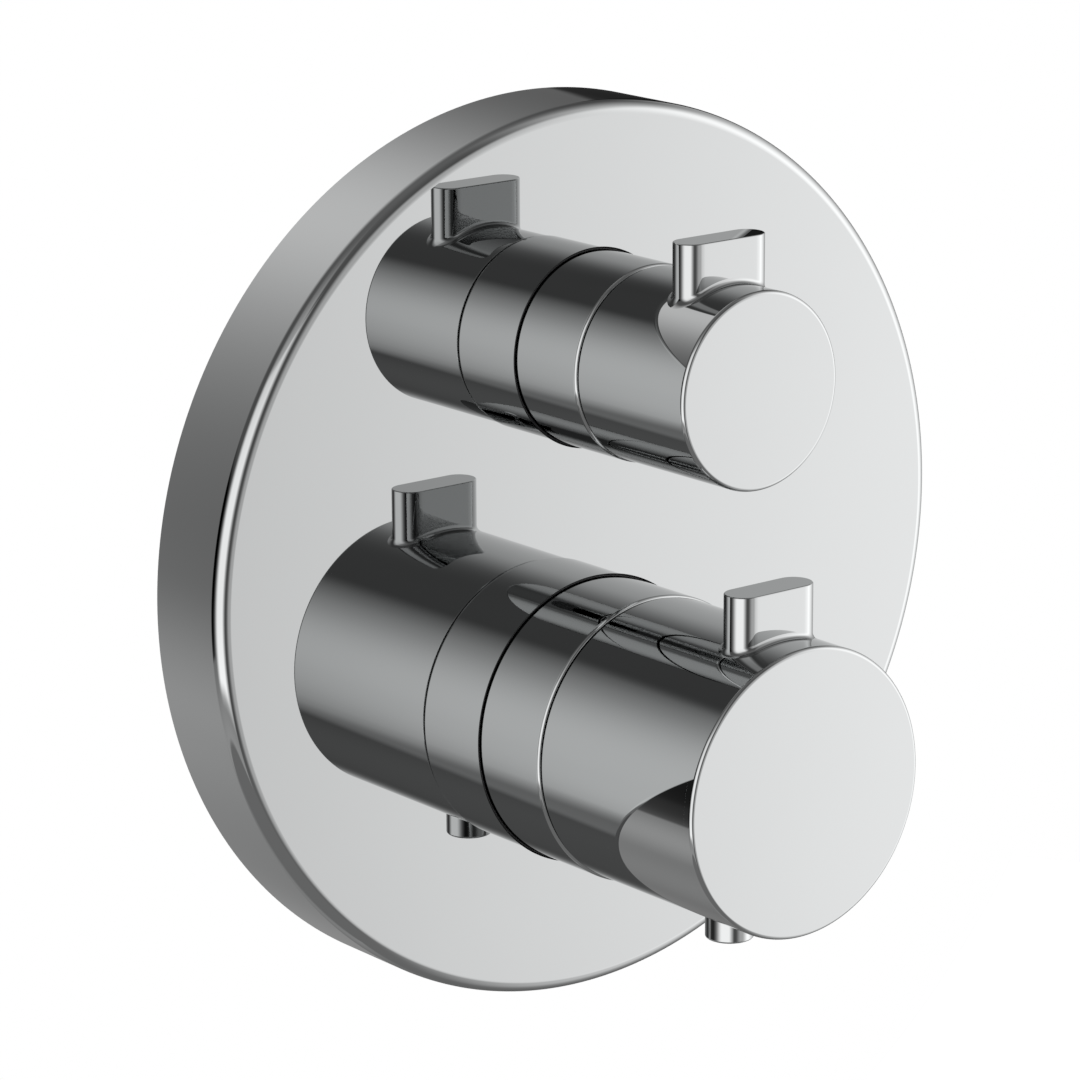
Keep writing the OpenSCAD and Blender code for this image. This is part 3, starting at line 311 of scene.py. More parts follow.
def turned(name, profile, facets, closed):
    """Draw a round piece, ring by ring, from points of (radius, reach).

    A closed profile ends where it starts. An open one is filled across at both ends.
    """
    clear_selection()
    radius, reach = profile[0]
    bpy.ops.mesh.primitive_circle_add(vertices=facets, radius=radius, location=(0, 0, reach),
                                      fill_type="NOTHING" if closed else "NGON")
    piece = bpy.context.object
    piece.name = piece.data.name = name
    bpy.ops.object.transform_apply(location=True, rotation=True, scale=True)
    bpy.ops.object.mode_set(mode="EDIT")
    bpy.ops.mesh.select_all(action="SELECT")
    for next_radius, next_reach in profile[1:]:
        bpy.ops.mesh.extrude_edges_move(
            TRANSFORM_OT_translate={"value": (0, 0, next_reach - reach)})
        share = next_radius / radius
        if share != 1:
            bpy.ops.transform.resize(value=(share, share, 1), center_override=(0, 0, next_reach))
        radius, reach = next_radius, next_reach
    if not closed:
        bpy.ops.mesh.edge_face_add()
    close_mesh()
    return piece


def place(piece, location, rotation):
    """Move and turn a piece, and put that into its mesh."""
    select_only(piece)
    piece.location, piece.rotation_euler = location, rotation
    bpy.ops.object.transform_apply(location=True, rotation=True, scale=True)


def lay_on_axis(piece, height):
    """Turn a piece's reach out of the wall and set it on a handle's axis."""
    place(piece, (0, 0, height), (pi / 2, 0, 0))


def cut(piece, cutters):
    """Cut closed pieces out of another and remove them."""
    for cutter in cutters:
        select_only(piece)
        hole = piece.modifiers.new("hole", "BOOLEAN")
        hole.operation, hole.solver, hole.object = "DIFFERENCE", "EXACT", cutter
        bpy.ops.object.modifier_apply(modifier=hole.name)
        select_only(cutter)
        bpy.ops.object.delete()


def join(piece, other):
    """Join another mesh to a piece."""
    select_only(piece)
    other.select_set(True)
    bpy.ops.object.join()


def finish_piece(piece, body, slot, *nodes):
    """Smooth a piece, give it its slot's finish and let it stand for its frame nodes.

    A piece that bends between two bodies has no body to ride on.
    """
    select_only(piece)
    bpy.ops.object.shade_smooth_by_angle(angle=SMOOTH_ANGLE)
    piece.data.materials.clear()
    piece.data.materials.append(finish(slot))
    if body:
        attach(piece, body)
    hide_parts(*nodes)


# How each finish looks: metal or not, its roughness from and to, the pattern and how many of its
# grains go to a metre, how deep they are, and how much darker the finish is where it is darkest
FINISHES = {
    "chrome": (1, 0.004, 0.014, "noise", 260, 0, 0.98),
    "brass": (1, 0.16, 0.30, "lines", 2400, 0.004 * MM, 0.82),
    "cast_brass": (1, 0.38, 0.55, "noise", 1800, 0.05 * MM, 0.62),
    "steel": (1, 0.20, 0.34, "lines", 2800, 0.003 * MM, 0.85),
    "spring_steel": (1, 0.22, 0.40, "noise", 2500, 0.006 * MM, 0.75),
    "copper": (1, 0.22, 0.40, "noise", 1500, 0.01 * MM, 0.70),
    "grey_plastic": (0, 0.40, 0.55, "noise", 3200, 0.010 * MM, 0.75),
    "white_plastic": (0, 0.32, 0.46, "noise", 3000, 0.006 * MM, 0.90),
    "ivory_plastic": (0, 0.30, 0.45, "noise", 2800, 0.006 * MM, 0.88),
    "tan_plastic": (0, 0.38, 0.52, "lines", 2600, 0.008 * MM, 0.80),
    "red_plastic": (0, 0.22, 0.34, "noise", 2600, 0.005 * MM, 0.85),
    "blue_plastic": (0, 0.22, 0.34, "noise", 2600, 0.005 * MM, 0.85),
    "rubber": (0, 0.50, 0.68, "noise", 3600, 0.012 * MM, 0.70),
    "foam": (0, 0.85, 0.98, "cells", 1400, 0.20 * MM, 0.55),
    "ceramic": (0, 0.10, 0.20, "noise", 2200, 0.002 * MM, 0.94),
}
# Tint of the light that chrome mirrors where it is seen at a grazing angle
CHROME_RIM = (0.7, 0.7, 0.7)
# Broad patches of a finish to one of its grains
PATCH_SHARE = 0.045
# How much longer a line of a brushed or turned finish is than it is wide
LINE_STRETCH = 14
# How many finer layers a grain has
GRAIN_DETAIL = 3
# Most values of a pattern lie between these two, which are stretched to the ends of its span
PATTERN_LOW, PATTERN_HIGH = 0.3, 0.7


def pattern_value(nodes, links, place_socket, pattern, grains):
    """The output socket of a pattern's value, from 0 to 1."""
    mapping = nodes.new("ShaderNodeMapping")
    stretch = 1 / LINE_STRETCH if pattern == "lines" else 1
    mapping.inputs["Scale"].default_value = (stretch, 1, 1)
    links.new(place_socket, mapping.inputs["Vector"])
    if pattern == "cells":
        texture = nodes.new("ShaderNodeTexVoronoi")
        texture.inputs["Scale"].default_value = grains
        value = texture.outputs["Distance"]
    else:
        texture = nodes.new("ShaderNodeTexNoise")
        texture.inputs["Scale"].default_value = grains
        texture.inputs["Detail"].default_value = GRAIN_DETAIL
        value = texture.outputs["Fac"]
    links.new(mapping.outputs["Vector"], texture.inputs["Vector"])
    return value


def span(nodes, links, value, low, high):
    """Stretch a pattern's value from low to high."""
    ranged = nodes.new("ShaderNodeMapRange")
    for socket, number in (("From Min", PATTERN_LOW), ("From Max", PATTERN_HIGH),
                           ("To Min", low), ("To Max", high)):
        ranged.inputs[socket].default_value = number
    links.new(value, ranged.inputs["Value"])
    return ranged.outputs["Result"]


def finish(slot):
    """The material of a finish, made when it is first asked for."""
    name = slot + "_finish"
    if name in bpy.data.materials:
        return bpy.data.materials[name]
    metal, smooth, rough, pattern, grains, depth, darkest = FINISHES[slot]
    colour = getattr(bpy.context.scene.valve_colours, slot)
    material = bpy.data.materials.new(name)
    material.use_nodes = True
    nodes, links = material.node_tree.nodes, material.node_tree.links
    shader = nodes["Principled BSDF"]
    shader.inputs["Metallic"].default_value = metal
    if slot == "chrome":
        shader.inputs["Specular Tint"].default_value = (*CHROME_RIM, 1)
    where = nodes.new("ShaderNodeTexCoord").outputs["Object"]
    grain = pattern_value(nodes, links, where, pattern, grains)
    patches = pattern_value(nodes, links, where, "noise", grains * PATCH_SHARE)
    mix = nodes.new("ShaderNodeMix")
    mix.data_type = "RGBA"
    mix.inputs["A"].default_value = (*(part * darkest for part in colour), 1)
    mix.inputs["B"].default_value = (*colour, 1)
    links.new(span(nodes, links, patches, 0, 1), mix.inputs["Factor"])
    links.new(mix.outputs["Result"], shader.inputs["Base Color"])
    links.new(span(nodes, links, grain, smooth, rough), shader.inputs["Roughness"])
    if depth:
        bump = nodes.new("ShaderNodeBump")
        bump.inputs["Distance"].default_value = depth
        links.new(grain, bump.inputs["Height"])
        links.new(bump.outputs["Normal"], shader.inputs["Normal"])
    return material


class VALVE_OT_frame_finishes(bpy.types.Operator):
    """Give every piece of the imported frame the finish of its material."""
    bl_idname = "valve.frame_finishes"
    bl_label = "Frame Finishes"

    def execute(self, context):
        slots = {part["node"]: part["material_slot"] for part in frame["record"]["subparts"]}
        # The body is the one piece that keeps the skin of its casting
        slots["valve_body"] = "cast_brass"
        for node, piece in frame["nodes"].items():
            piece.data.materials.clear()
            piece.data.materials.append(finish(slots[node]))
        return {"FINISHED"}


class VALVE_OT_cover_plate(bpy.types.Operator):
    """Draw the round cover plate with its rounded front edge and the holes for the sleeves."""
    bl_idname = "valve.cover_plate"
    bl_label = "Cover Plate"

    def execute(self, context):
        sizes, drawing = context.scene.valve_cover, context.scene.valve_drawing
        outer, depth, edge = sizes.plate_radius, sizes.plate_depth, sizes.plate_edge
        inner, hollow = outer - sizes.plate_wall, depth - sizes.plate_wall
        inner_edge = edge - sizes.plate_wall / 2
        steps = drawing.plate_edge_steps
        profile = [
            *rounded(inner - inner_edge, hollow - inner_edge, inner_edge, 90, 0, steps),
            (inner, 0), (outer, 0), *outer_edge(outer, depth, edge, steps),
        ]
        plate = turned("cover_plate_shell", profile, drawing.plate_facets, closed=False)
        lay_on_axis(plate, 0)
        cutters = []
        for side, (_, height) in HANDLES.items():
            radius = getattr(sizes, side + "_sleeve") + sizes.hole_gap
            hole = [(radius, hollow - CLEAR), (radius, depth + CLEAR)]
            cutters.append(turned("sleeve_hole", hole, drawing.facets, closed=False))
            lay_on_axis(cutters[-1], height)
        cut(plate, cutters)
        finish_piece(plate, "fixed", "chrome", "cover_plate")
        return {"FINISHED"}


class VALVE_OT_sleeves(bpy.types.Operator):
    """Draw the two fixed sleeves that pass through the cover plate."""
    bl_idname = "valve.sleeves"
    bl_label = "Sleeves"

    def execute(self, context):
        sizes, drawing = context.scene.valve_cover, context.scene.valve_drawing
        start, end, steps = sizes.sleeve_start, sizes.sleeve_reach, drawing.edge_steps
        web_front = start + sizes.sleeve_web
        for side, (_, height) in HANDLES.items():
            radius, nose = sizes_of(sizes, side, "sleeve", "nose")
            bore = radius - sizes.sleeve_wall
            ring_radius = radius + sizes.hole_gap - sizes.ring_inset
            ring_reach = sizes.plate_depth - sizes.plate_wall / 2
            mouth = degrees(acos((radius - ring_radius) / sizes.ring_section))
            groove = rounded(ring_radius, ring_reach, sizes.ring_section, -mouth, mouth - 360,
                             steps)
            profile = [
                (radius, start), (radius, groove[0][1] - FLAT_STRIP), *groove,
                (radius, groove[-1][1] + FLAT_STRIP),
                *outer_edge(radius, end, sizes.front_edge, steps),
                (bore, end), (bore, web_front), (nose, web_front), (nose, start), (radius, start),
            ]
            name = side + "_sleeve"
            sleeve = turned(name + "_shell", profile, drawing.facets, closed=True)
            lay_on_axis(sleeve, height)
            finish_piece(sleeve, "fixed", "chrome", name)
        return {"FINISHED"}


def knob_shell(name, radius, reach, sizes, steps, facets, ring_reaches):
    """Draw a knob's wall, web and hub, with extra rings at some reaches, in rising order."""
    bore, start, edge = radius - sizes.wall, sizes.knob_back, sizes.back_edge
    rim = reach - sizes.cap
    web_front = rim - sizes.recess
    web_back = web_front - sizes.web
    hub_back = web_back - sizes.hub
    profile = [
        (bore, start), *((bore, ring) for ring in ring_reaches), (bore, web_back),
        (sizes.hub_radius, web_back), (sizes.hub_radius, hub_back), (sizes.hub_hole, hub_back),
        (sizes.hub_hole, web_front), (bore, web_front), (bore, rim), (radius, rim),
        *((radius, ring) for ring in reversed(ring_reaches)), (radius, start + edge + FLAT_STRIP),
        *rounded(radius - edge, start + edge, edge, 0, -90, steps), (bore, start),
    ]
    return turned(name, profile, facets, closed=True)


def level_ring(piece, straight, out, level):
    """Move a fin's selected ring to its distance from the line between the centres of its ends.

    level gives the height of each point from its place across the knob.
    """
    mesh = bmesh.from_edit_mesh(piece.data)
    for point in (vertex for vertex in mesh.verts if vertex.select):
        middle = max(-straight / 2, min(straight / 2, point.co.x))
        across, along = point.co.x - middle, point.co.y
        share = out / hypot(across, along)
        place_across = middle + across * share
        point.co = (place_across, along * share, level(place_across))
    bmesh.update_edit_mesh(piece.data)


def fin(name, width, depth, radius, top, sizes, steps):
    """Draw a fin that grows out of a knob of some radius with a hollow foot, upright along z."""
    clear_selection()
    half, straight = depth / 2, width - depth
    bpy.ops.mesh.primitive_circle_add(vertices=FIN_FACETS, radius=half, rotation=(0, 0, pi / 2),
                                      fill_type="NOTHING")
    piece = bpy.context.object
    piece.name = piece.data.name = name
    bpy.ops.object.transform_apply(location=True, rotation=True, scale=True)
    bpy.ops.object.mode_set(mode="EDIT")
    for side in (-1, 1):
        bpy.ops.mesh.select_all(action="DESELECT")
        mesh = bmesh.from_edit_mesh(piece.data)
        for point in mesh.verts:
            point.select_set(point.co.x * side > 0)
        bmesh.update_edit_mesh(piece.data)
        bpy.ops.transform.translate(value=(side * straight / 2, 0, 0))
    bpy.ops.mesh.select_all(action="DESELECT")
    mesh = bmesh.from_edit_mesh(piece.data)
    for edge in mesh.edges:
        edge.select_set(edge.calc_length() > straight / 2)
    bmesh.update_edit_mesh(piece.data)
    bpy.ops.mesh.subdivide(number_cuts=FIN_CUTS)
    bpy.ops.mesh.select_all(action="SELECT")

    def above(rise):
        return lambda across: sqrt(radius * radius - across * across) + rise

    def flat(height):
        return lambda across: height

    foot = sizes.fin_foot
    level_ring(piece, straight, half, above(foot))
    upper = [(half, above(foot + FLAT_STRIP))]
    upper += [(out, flat(height)) for out, height in outer_edge(half, top, sizes.fin_edge, steps)]
    for out, level in upper:
        bpy.ops.mesh.extrude_edges_move()
        level_ring(piece, straight, out, level)
    bpy.ops.mesh.edge_face_add()
    bpy.ops.mesh.select_all(action="DESELECT")
    bpy.ops.mesh.select_non_manifold(extend=False, use_wire=False, use_boundary=True,
                                     use_multi_face=False, use_non_contiguous=False,
                                     use_verts=False)
    lower = [(out, above(rise))
             for out, rise in rounded(half + foot, foot, foot, 180, 270, steps)[1:-1]]
    lower += [(half + foot, above(-sizes.foot_sink)), (half + foot, above(-sizes.fin_root)),
              (0, above(-sizes.fin_root))]
    for out, level in lower:
        bpy.ops.mesh.extrude_edges_move()
        level_ring(piece, straight, out, level)
    close_mesh()
    return piece


class VALVE_OT_knobs(bpy.types.Operator):
    """Draw the two knobs, each with its fin, and the button's hole in the lower one."""
    bl_idname = "valve.knobs"
    bl_label = "Knobs"

    def execute(self, context):
        sizes, drawing = context.scene.valve_handles, context.scene.valve_drawing
        hole = sizes.button_radius + sizes.button_gap
        beside = [sizes.button_reach - hole - FLAT_STRIP, sizes.button_reach + hole + FLAT_STRIP]
        for side, (body, height) in HANDLES.items():
            radius, reach, top, width, depth, back = sizes_of(
                sizes, side, "radius", "reach", "top", "fin_width", "fin_depth", "fin_back")
            name, drilled = side + "_knob", side == "lower"
            knob = knob_shell(name + "_shell", radius, reach, sizes, drawing.edge_steps,
                              drawing.drilled_facets if drilled else drawing.facets,
                              beside if drilled else [])
            lay_on_axis(knob, height)
            if drilled:
                drill = turned("button_hole", [(hole, radius / 2), (hole, radius + CLEAR)],
                               drawing.facets, closed=False)
                place(drill, (0, -sizes.button_reach, height), (pi, 0, 0))
                cut(knob, [drill])
            blade = fin(name + "_fin", width, depth, radius, top, sizes, drawing.edge_steps)
            place(blade, (0, depth / 2 + back - reach, height), (0, 0, 0))
            join(knob, blade)
            finish_piece(knob, body, "chrome", name)
        return {"FINISHED"}


class VALVE_OT_knob_caps(bpy.types.Operator):
    """Draw the flat caps that close the knobs."""
    bl_idname = "valve.knob_caps"
    bl_label = "Knob Caps"

    def execute(self, context):
        sizes, drawing = context.scene.valve_handles, context.scene.valve_drawing
        for side, (body, height) in HANDLES.items():
            radius, reach = sizes_of(sizes, side, "radius", "reach")
            back = reach - sizes.cap
            skirt, skirt_back = radius - sizes.wall - sizes.skirt_gap, back - sizes.skirt
            profile = [
                (skirt - sizes.skirt_wall, back), (skirt - sizes.skirt_wall, skirt_back),
                (skirt, skirt_back), (skirt, back), (radius, back),
                *outer_edge(radius, reach, sizes.cap_edge, drawing.edge_steps),
            ]
            name = side + "_knob_cap"
            cap = turned(name + "_shell", profile, drawing.facets, closed=False)
            lay_on_axis(cap, height)
            finish_piece(cap, body, "chrome", name)
        return {"FINISHED"}


class VALVE_OT_safety_button(bpy.types.Operator):
    """Draw the push button under the lower knob."""
    bl_idname = "valve.safety_button"
    bl_label = "Safety Button"

    def execute(self, context):
        sizes, drawing = context.scene.valve_handles, context.scene.valve_drawing
        radius, end = sizes.button_radius, LOWER_AXIS - corner("safety_button", 0, 2)
        flange_high = sizes.flange_low - sizes.flange
        profile = [
            (sizes.post_radius, sizes.button_top - sizes.post),
            (sizes.post_radius, sizes.button_top), (radius, sizes.button_top),
            (radius, flange_high), (sizes.flange_radius, flange_high),
            (sizes.flange_radius, sizes.flange_low), (radius, sizes.flange_low),
            *outer_edge(radius, end, sizes.button_edge, drawing.edge_steps),
        ]
        button = turned("safety_button_shell", profile, drawing.facets, closed=False)
        place(button, (0, -sizes.button_reach, LOWER_AXIS), (pi, 0, 0))
        finish_piece(button, "safety_button", "chrome", "safety_button")
        return {"FINISHED"}


def coil(name, radius, reach, wire, turns, steps):
    """Draw a spring along z from the origin, its wire closed at both ends."""
    path = bpy.data.curves.new(name, "CURVE")
    path.dimensions = "3D"
    path.bevel_depth, path.bevel_resolution, path.use_fill_caps = wire, WIRE_ROUNDING, True
    line = path.splines.new("POLY")
    line.points.add(turns * steps)
    for step, point in enumerate(line.points):
        turn = 2 * pi * step / steps
        rise = wire + (reach - 2 * wire) * step / (turns * steps)
        point.co = (radius * cos(turn), radius * sin(turn), rise, 1)
    piece = bpy.data.objects.new(name, path)
    bpy.context.collection.objects.link(piece)
    select_only(piece)
    bpy.ops.object.convert(target="MESH")
    bpy.ops.object.mode_set(mode="EDIT")
    close_mesh()
    return bpy.context.object


# The springs that moving pieces shorten: the body that each rides on and the joint that shortens
# it, its axis as a place in (x, y, z), which end of its box is held, 0 the low one and 1 the high
# one, how a spring along z is turned to reach away from there, and the word its sizes start with.
# The return spring stretches between two bodies, so it rides on neither.
SPRINGS = {
    "hot_check_spring": ("fixed", "hot_check_slide", 0, 1, (0, -pi / 2, 0), "check"),
    "cold_check_spring": ("fixed", "cold_check_slide", 0, 0, (0, pi / 2, 0), "check"),
    "button_spring": ("temperature_knob", "safety_button_press", 2, 1, (pi, 0, 0), "button"),
    "return_spring": (None, None, 1, 1, (pi / 2, 0, 0), "return"),
}


class VALVE_OT_springs(bpy.types.Operator):
    """Draw the springs that the moving pieces shorten, each from its held end."""
    bl_idname = "valve.springs"
    bl_label = "Springs"

    def execute(self, context):
        sizes, drawing = context.scene.valve_springs, context.scene.valve_drawing
        for node, (body, joint, axis, held, turn, word) in SPRINGS.items():
            wire, turns = sizes_of(sizes, word, "wire", "turns")
            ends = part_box(node)
            reach = ends[1][axis] - ends[0][axis]
            across = max(ends[1][side] - ends[0][side] for side in range(3) if side != axis)
            start = (ends[0] + ends[1]) / 2
            end = start.copy()
            start[axis], end[axis] = ends[held][axis], ends[1 - held][axis]
            spring = coil(node + "_wire", across / 2 - wire, reach, wire, turns,
                          drawing.wire_steps)
            place(spring, start, turn)
            finish_piece(spring, body, "spring_steel", node)
            if joint:
                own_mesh(spring)
            else:
                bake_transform(spring)
        return {"FINISHED"}


# Soft boxes round the valve as its mirror faces see them. Each has the azimuths of its left and
# right ends and how softly each end fades, its lower and upper edges' elevations and how softly
# each fades, all in degrees, and how bright it is. Azimuth 0 is the room straight before the
# valve and +90 is to the right.
SOFT_BOXES = (
    (-90.7, -24.2, 29.2, 13.7, -30.0, 37.9, 4.8, 5.2, 0.45),
    (-92.9, -35.2, 36.5, 18.4, -27.3, 39.3, 4.6, 72.1, 1.04),
    (2.1, 123.6, 27.2, 2.5, -30.1, 30.7, 12.9, 19.7, 0.56),
    (40.9, 84.8, 40.6, 84.2, -44.2, 41.5, 58.6, 83.5, 1.51),
    # The left box's light on the floor
    (-150.1, -23.1, 19.2, 4.3, -38.9, -20.3, 2.5, 24.5, 0.27),
    # Dark screens behind on the right and on the left
    (117.1, 165.0, 57.9, 10.0, -13.8, 5.0, 3.7, 2.7, -0.17),
    (128.0, 140.5, 8.0, 0.6, 5.0, 19.0, 2.7, 6.0, -0.16),
    (-141.6, -112.0, 1.2, 20.0, -21.0, 14.0, 1.6, 12.0, -0.135),
    (-141.6, -112.0, 1.2, 20.0, -21.0, -15.0, 1.6, 9.0, -0.08),
)
# How bright the room is at eye level and on the floor, before the valve and behind it
BEFORE, BEHIND = (0.124, 0.249), (0.961, 0.416)
OVERHEAD = 0.196
# Where each passes into the next and how softly: degrees from straight before the valve to behind
# it, and elevations from the floor to eye level and from there to overhead
BEHIND_FADE, FLOOR_FADE, OVERHEAD_FADE = (155.2, 48.2), (-33.5, 16.0), (58.8, 50.3)
# Brightness of the plain light that matt pieces get from all round
PLAIN_LIGHT = 0.62
# Directions of the lamps: azimuth and elevation in degrees
LAMPS = ((-60, 35), (55, 30), (0, 75))
# Distance from which the camera starts to see
CAMERA_NEAR = 0.01
FLOOR_FACETS = 96
FLOOR_ROUGHNESS = 0.9
# What the floor adds of itself to the light on it, so that it looks white
FLOOR_GLOW = 0.75
WHITE = (1, 1, 1, 1)


def direction(azimuth, elevation):
    """The unit vector to an azimuth, 0 straight before the valve, and an elevation."""
    return Vector((sin(azimuth) * cos(elevation), -cos(azimuth) * cos(elevation),
                   sin(elevation)))


class ValueGraph:
    """Adds nodes that work out values to a node tree."""

    def __init__(self, tree):
        self.nodes, self.links = tree.nodes, tree.links

    def math(self, operation, *values):
        """A Math node on sockets or numbers."""
        node = self.nodes.new("ShaderNodeMath")
        node.operation = operation
        for socket, value in zip(node.inputs, values):
            if isinstance(value, bpy.types.NodeSocket):
                self.links.new(value, socket)
            else:
                socket.default_value = value
        return node.outputs["Value"]

    def fade(self, value, start, end, low, high):
        """Pass smoothly from low to high as a value goes from start to end, in degrees."""
        node = self.nodes.new("ShaderNodeMapRange")
        node.interpolation_type = "SMOOTHSTEP"
        self.links.new(value, node.inputs["Value"])
        for socket, number in (("From Min", radians(start)), ("From Max", radians(end)),
                               ("To Min", low), ("To Max", high)):
            node.inputs[socket].default_value = number
        return node.outputs["Result"]

    def rise(self, value, middle, width):
        """Pass from 0 to 1 round a middle."""
        return self.fade(value, middle - width / 2, middle + width / 2, 0, 1)

    def fall(self, value, middle, width):
        """Pass from 1 to 0 round a middle."""
        return self.fade(value, middle - width / 2, middle + width / 2, 1, 0)

    def product(self, *values):
        """The product of values."""
        result = values[0]
        for value in values[1:]:
            result = self.math("MULTIPLY", result, value)
        return result

    def total(self, *values):
        """The sum of values."""
        result = values[0]
        for value in values[1:]:
            result = self.math("ADD", result, value)
        return result

    def between(self, share, low, high):
        """Low where a share is 0 and high where it is 1."""
        return self.total(self.product(self.math("SUBTRACT", 1, share), low),
                          self.product(share, high))


def studio_light(graph):
    """How bright the studio is in each direction, as the mirror faces of the valve see it."""
    where = graph.nodes.new("ShaderNodeTexCoord").outputs["Generated"]
    parts = graph.nodes.new("ShaderNodeSeparateXYZ")
    graph.links.new(where, parts.inputs["Vector"])
    across, into, up = (parts.outputs[name] for name in "XYZ")
    azimuth = graph.math("ARCTAN2", across, graph.math("MULTIPLY", into, -1))
    elevation = graph.math("ARCSINE", up)
    behind = graph.rise(graph.math("ABSOLUTE", azimuth), *BEHIND_FADE)
    eye_level, floor = (graph.between(behind, before, after)
                        for before, after in zip(BEFORE, BEHIND))
    room = graph.between(graph.fall(elevation, *FLOOR_FADE), eye_level, floor)
    room = graph.between(graph.rise(elevation, *OVERHEAD_FADE), room, OVERHEAD)
    boxes = [graph.product(graph.rise(azimuth, left, left_fade),
                           graph.fall(azimuth, right, right_fade),
                           graph.rise(elevation, low, low_fade),
                           graph.fall(elevation, high, high_fade), bright)
             for left, right, left_fade, right_fade, low, high, low_fade, high_fade, bright
             in SOFT_BOXES]
    return graph.math("MAXIMUM", graph.total(room, *boxes), 0)


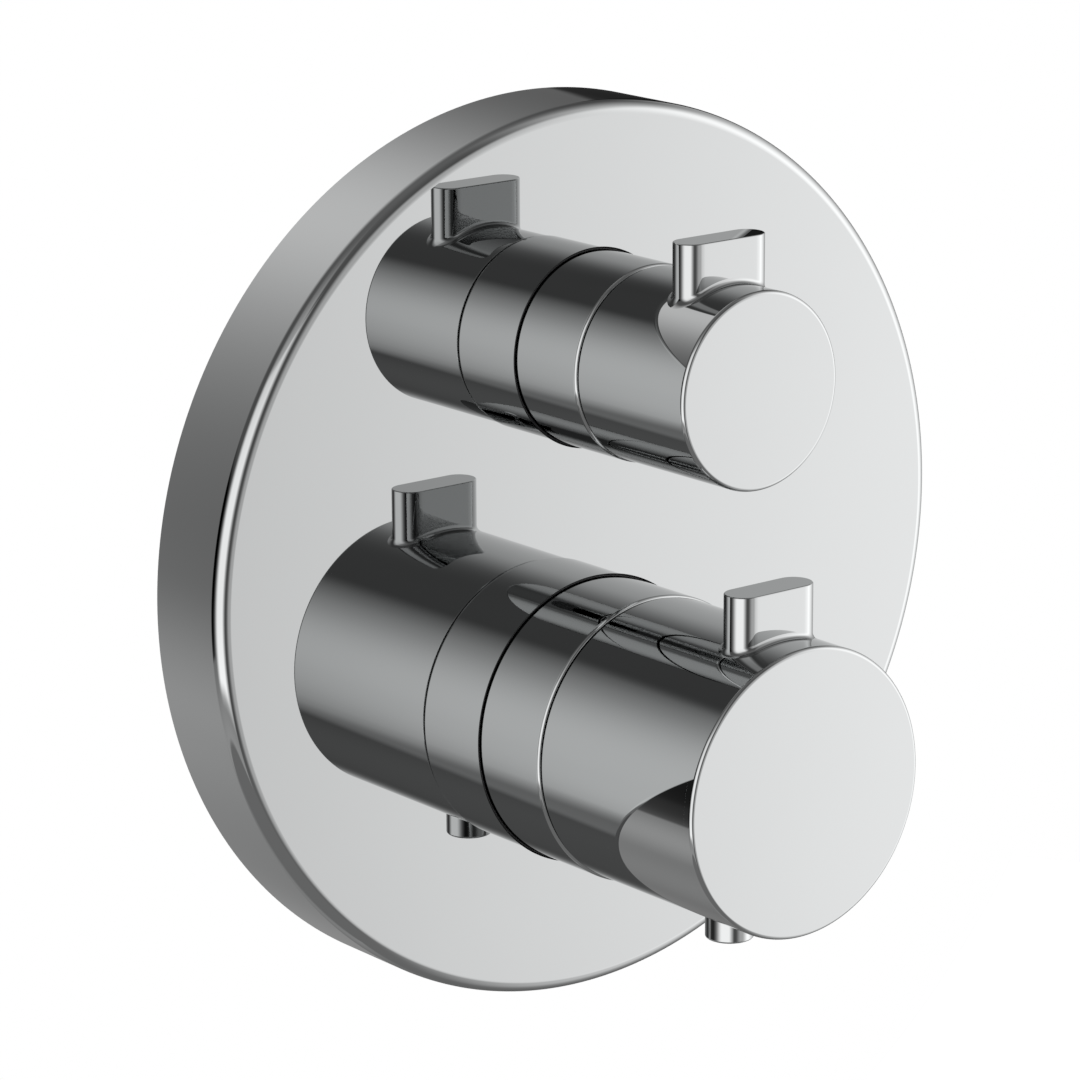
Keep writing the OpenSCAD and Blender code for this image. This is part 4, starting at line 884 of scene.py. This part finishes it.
class VALVE_OT_studio(bpy.types.Operator):
    """Set up the camera, the floor, the lamps and the studio that the chrome mirrors."""
    bl_idname = "valve.studio"
    bl_label = "Studio"

    def execute(self, context):
        studio = context.scene.valve_studio
        clear_selection()
        self.camera(context, studio)
        self.floor(context, studio)
        self.wall(context, studio)
        self.lamps(studio)
        self.world(context)
        context.scene.view_settings.view_transform = "Standard"
        return {"FINISHED"}

    @staticmethod
    def camera(context, studio):
        """Stand the camera where the photograph was taken from."""
        bpy.ops.object.camera_add()
        camera = context.object
        camera.name = "camera"
        camera.data.lens, camera.data.clip_start = studio.lens, CAMERA_NEAR
        turn, tilt, roll = studio.azimuth, studio.elevation, studio.roll
        back, right = direction(turn, tilt), direction(turn + pi / 2, 0)
        up = back.cross(right)
        axes = (right * cos(roll) + up * sin(roll), up * cos(roll) - right * sin(roll), back)
        camera.matrix_world = (Matrix.Translation(studio.place)
                               @ Matrix(axes).transposed().to_4x4())
        context.scene.camera = camera

    @staticmethod
    def floor(context, studio):
        """Lay the pale floor, white but for the shadow on it and clear from below."""
        bpy.ops.mesh.primitive_circle_add(vertices=FLOOR_FACETS, radius=studio.floor_radius,
                                          location=(0, 0, -studio.floor_drop),
                                          fill_type="NGON")
        floor = context.object
        floor.name = floor.data.name = "floor"
        floor.visible_glossy = False
        bpy.ops.object.transform_apply(location=True, rotation=True, scale=True)
        material = bpy.data.materials.new("floor")
        material.use_nodes = True
        graph = ValueGraph(material.node_tree)
        shader = graph.nodes["Principled BSDF"]
        shader.inputs["Base Color"].default_value = (*context.scene.valve_colours.floor, 1)
        shader.inputs["Roughness"].default_value = FLOOR_ROUGHNESS
        shader.inputs["Emission Color"].default_value = WHITE
        path = graph.nodes.new("ShaderNodeLightPath")
        shown = graph.total(path.outputs["Is Camera Ray"], path.outputs["Is Glossy Ray"],
                            path.outputs["Is Transmission Ray"])
        graph.links.new(graph.product(shown, FLOOR_GLOW), shader.inputs["Emission Strength"])
        below = graph.nodes.new("ShaderNodeNewGeometry").outputs["Backfacing"]
        graph.links.new(graph.math("SUBTRACT", 1, below), shader.inputs["Alpha"])
        floor.data.materials.append(material)

    @staticmethod
    def wall(context, studio):
        """Close the wall round the cover plate, as the room sees it and not from behind."""
        cover = context.scene.valve_cover
        bore = cover.plate_radius - cover.plate_wall / 2
        wall = turned("wall", [(studio.wall_radius, 0), (bore, 0)],
                      context.scene.valve_drawing.plate_facets, closed=True)
        lay_on_axis(wall, 0)
        wall.visible_glossy = wall.visible_diffuse = wall.visible_shadow = False
        material = bpy.data.materials.new("wall")
        material.use_nodes = True
        nodes, links = material.node_tree.nodes, material.node_tree.links
        nodes.remove(nodes["Principled BSDF"])
        glow, clear, mix = (nodes.new("ShaderNode" + kind)
                            for kind in ("Emission", "BsdfTransparent", "MixShader"))
        links.new(nodes.new("ShaderNodeNewGeometry").outputs["Backfacing"], mix.inputs["Fac"])
        links.new(glow.outputs["Emission"], mix.inputs[1])
        links.new(clear.outputs["BSDF"], mix.inputs[2])
        links.new(mix.outputs["Shader"], nodes["Material Output"].inputs["Surface"])
        wall.data.materials.append(material)

    @staticmethod
    def lamps(studio):
        """Hang the soft lamps, which light matt pieces and don't show in the chrome."""
        for number, (azimuth, elevation) in enumerate(LAMPS):
            away = direction(radians(azimuth), radians(elevation))
            bpy.ops.object.light_add(type="AREA", location=away * studio.lamp_distance,
                                     rotation=away.to_track_quat("Z", "Y").to_euler())
            lamp = bpy.context.object
            lamp.name = f"lamp_{number + 1}"
            lamp.data.size, lamp.data.energy = studio.lamp_size, studio.lamp_power
            lamp.visible_glossy = False

    @staticmethod
    def world(context):
        """Show white to the camera, the studio to mirror faces and plain light to matt ones."""
        world = bpy.data.worlds.new("studio")
        world.use_nodes = True
        context.scene.world = world
        graph = ValueGraph(world.node_tree)
        path = graph.nodes.new("ShaderNodeLightPath")
        mirrored = graph.math("MAXIMUM", path.outputs["Is Glossy Ray"],
                              path.outputs["Is Transmission Ray"])
        light = graph.between(mirrored, PLAIN_LIGHT, studio_light(graph))
        light = graph.between(path.outputs["Is Camera Ray"], light, 1)
        graph.links.new(light, graph.nodes["Background"].inputs["Color"])


class VALVE_PT_pieces(bpy.types.Panel):
    """Lists the steps that draw and dress the valve."""
    bl_idname = "VALVE_PT_pieces"
    bl_label = "Shower Valve"
    bl_space_type = "VIEW_3D"
    bl_region_type = "UI"
    bl_category = "Shower Valve"

    def draw(self, context):
        for step in STEPS:
            self.layout.operator(step.bl_idname)
        for group in GROUPS:
            box = self.layout.box()
            sizes = getattr(context.scene, group)
            for name in sizes.bl_rna.properties.keys():
                if name not in ("rna_type", "name"):
                    box.prop(sizes, name)


STEPS = (VALVE_OT_frame_finishes, VALVE_OT_cover_plate, VALVE_OT_sleeves, VALVE_OT_knobs,
         VALVE_OT_knob_caps, VALVE_OT_safety_button, VALVE_OT_springs, VALVE_OT_studio)
GROUPS = {"valve_cover": CoverSizes, "valve_handles": HandleSizes, "valve_springs": SpringSizes,
          "valve_drawing": DrawingSteps, "valve_colours": FinishColours,
          "valve_studio": StudioSettings}


def register():
    """Register the sizes, the steps and the panel."""
    for kind in (*GROUPS.values(), *STEPS, VALVE_PT_pieces):
        bpy.utils.register_class(kind)
    for name, kind in GROUPS.items():
        setattr(bpy.types.Scene, name, PointerProperty(type=kind))


def unregister():
    """Take the sizes, the steps and the panel away again."""
    for name in GROUPS:
        delattr(bpy.types.Scene, name)
    for kind in reversed((*GROUPS.values(), *STEPS, VALVE_PT_pieces)):
        bpy.utils.unregister_class(kind)


def main():
    """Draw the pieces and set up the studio."""
    register()
    for step in STEPS:
        group, name = step.bl_idname.split(".")
        getattr(getattr(bpy.ops, group), name)()


if __name__ == "__main__":
    main()
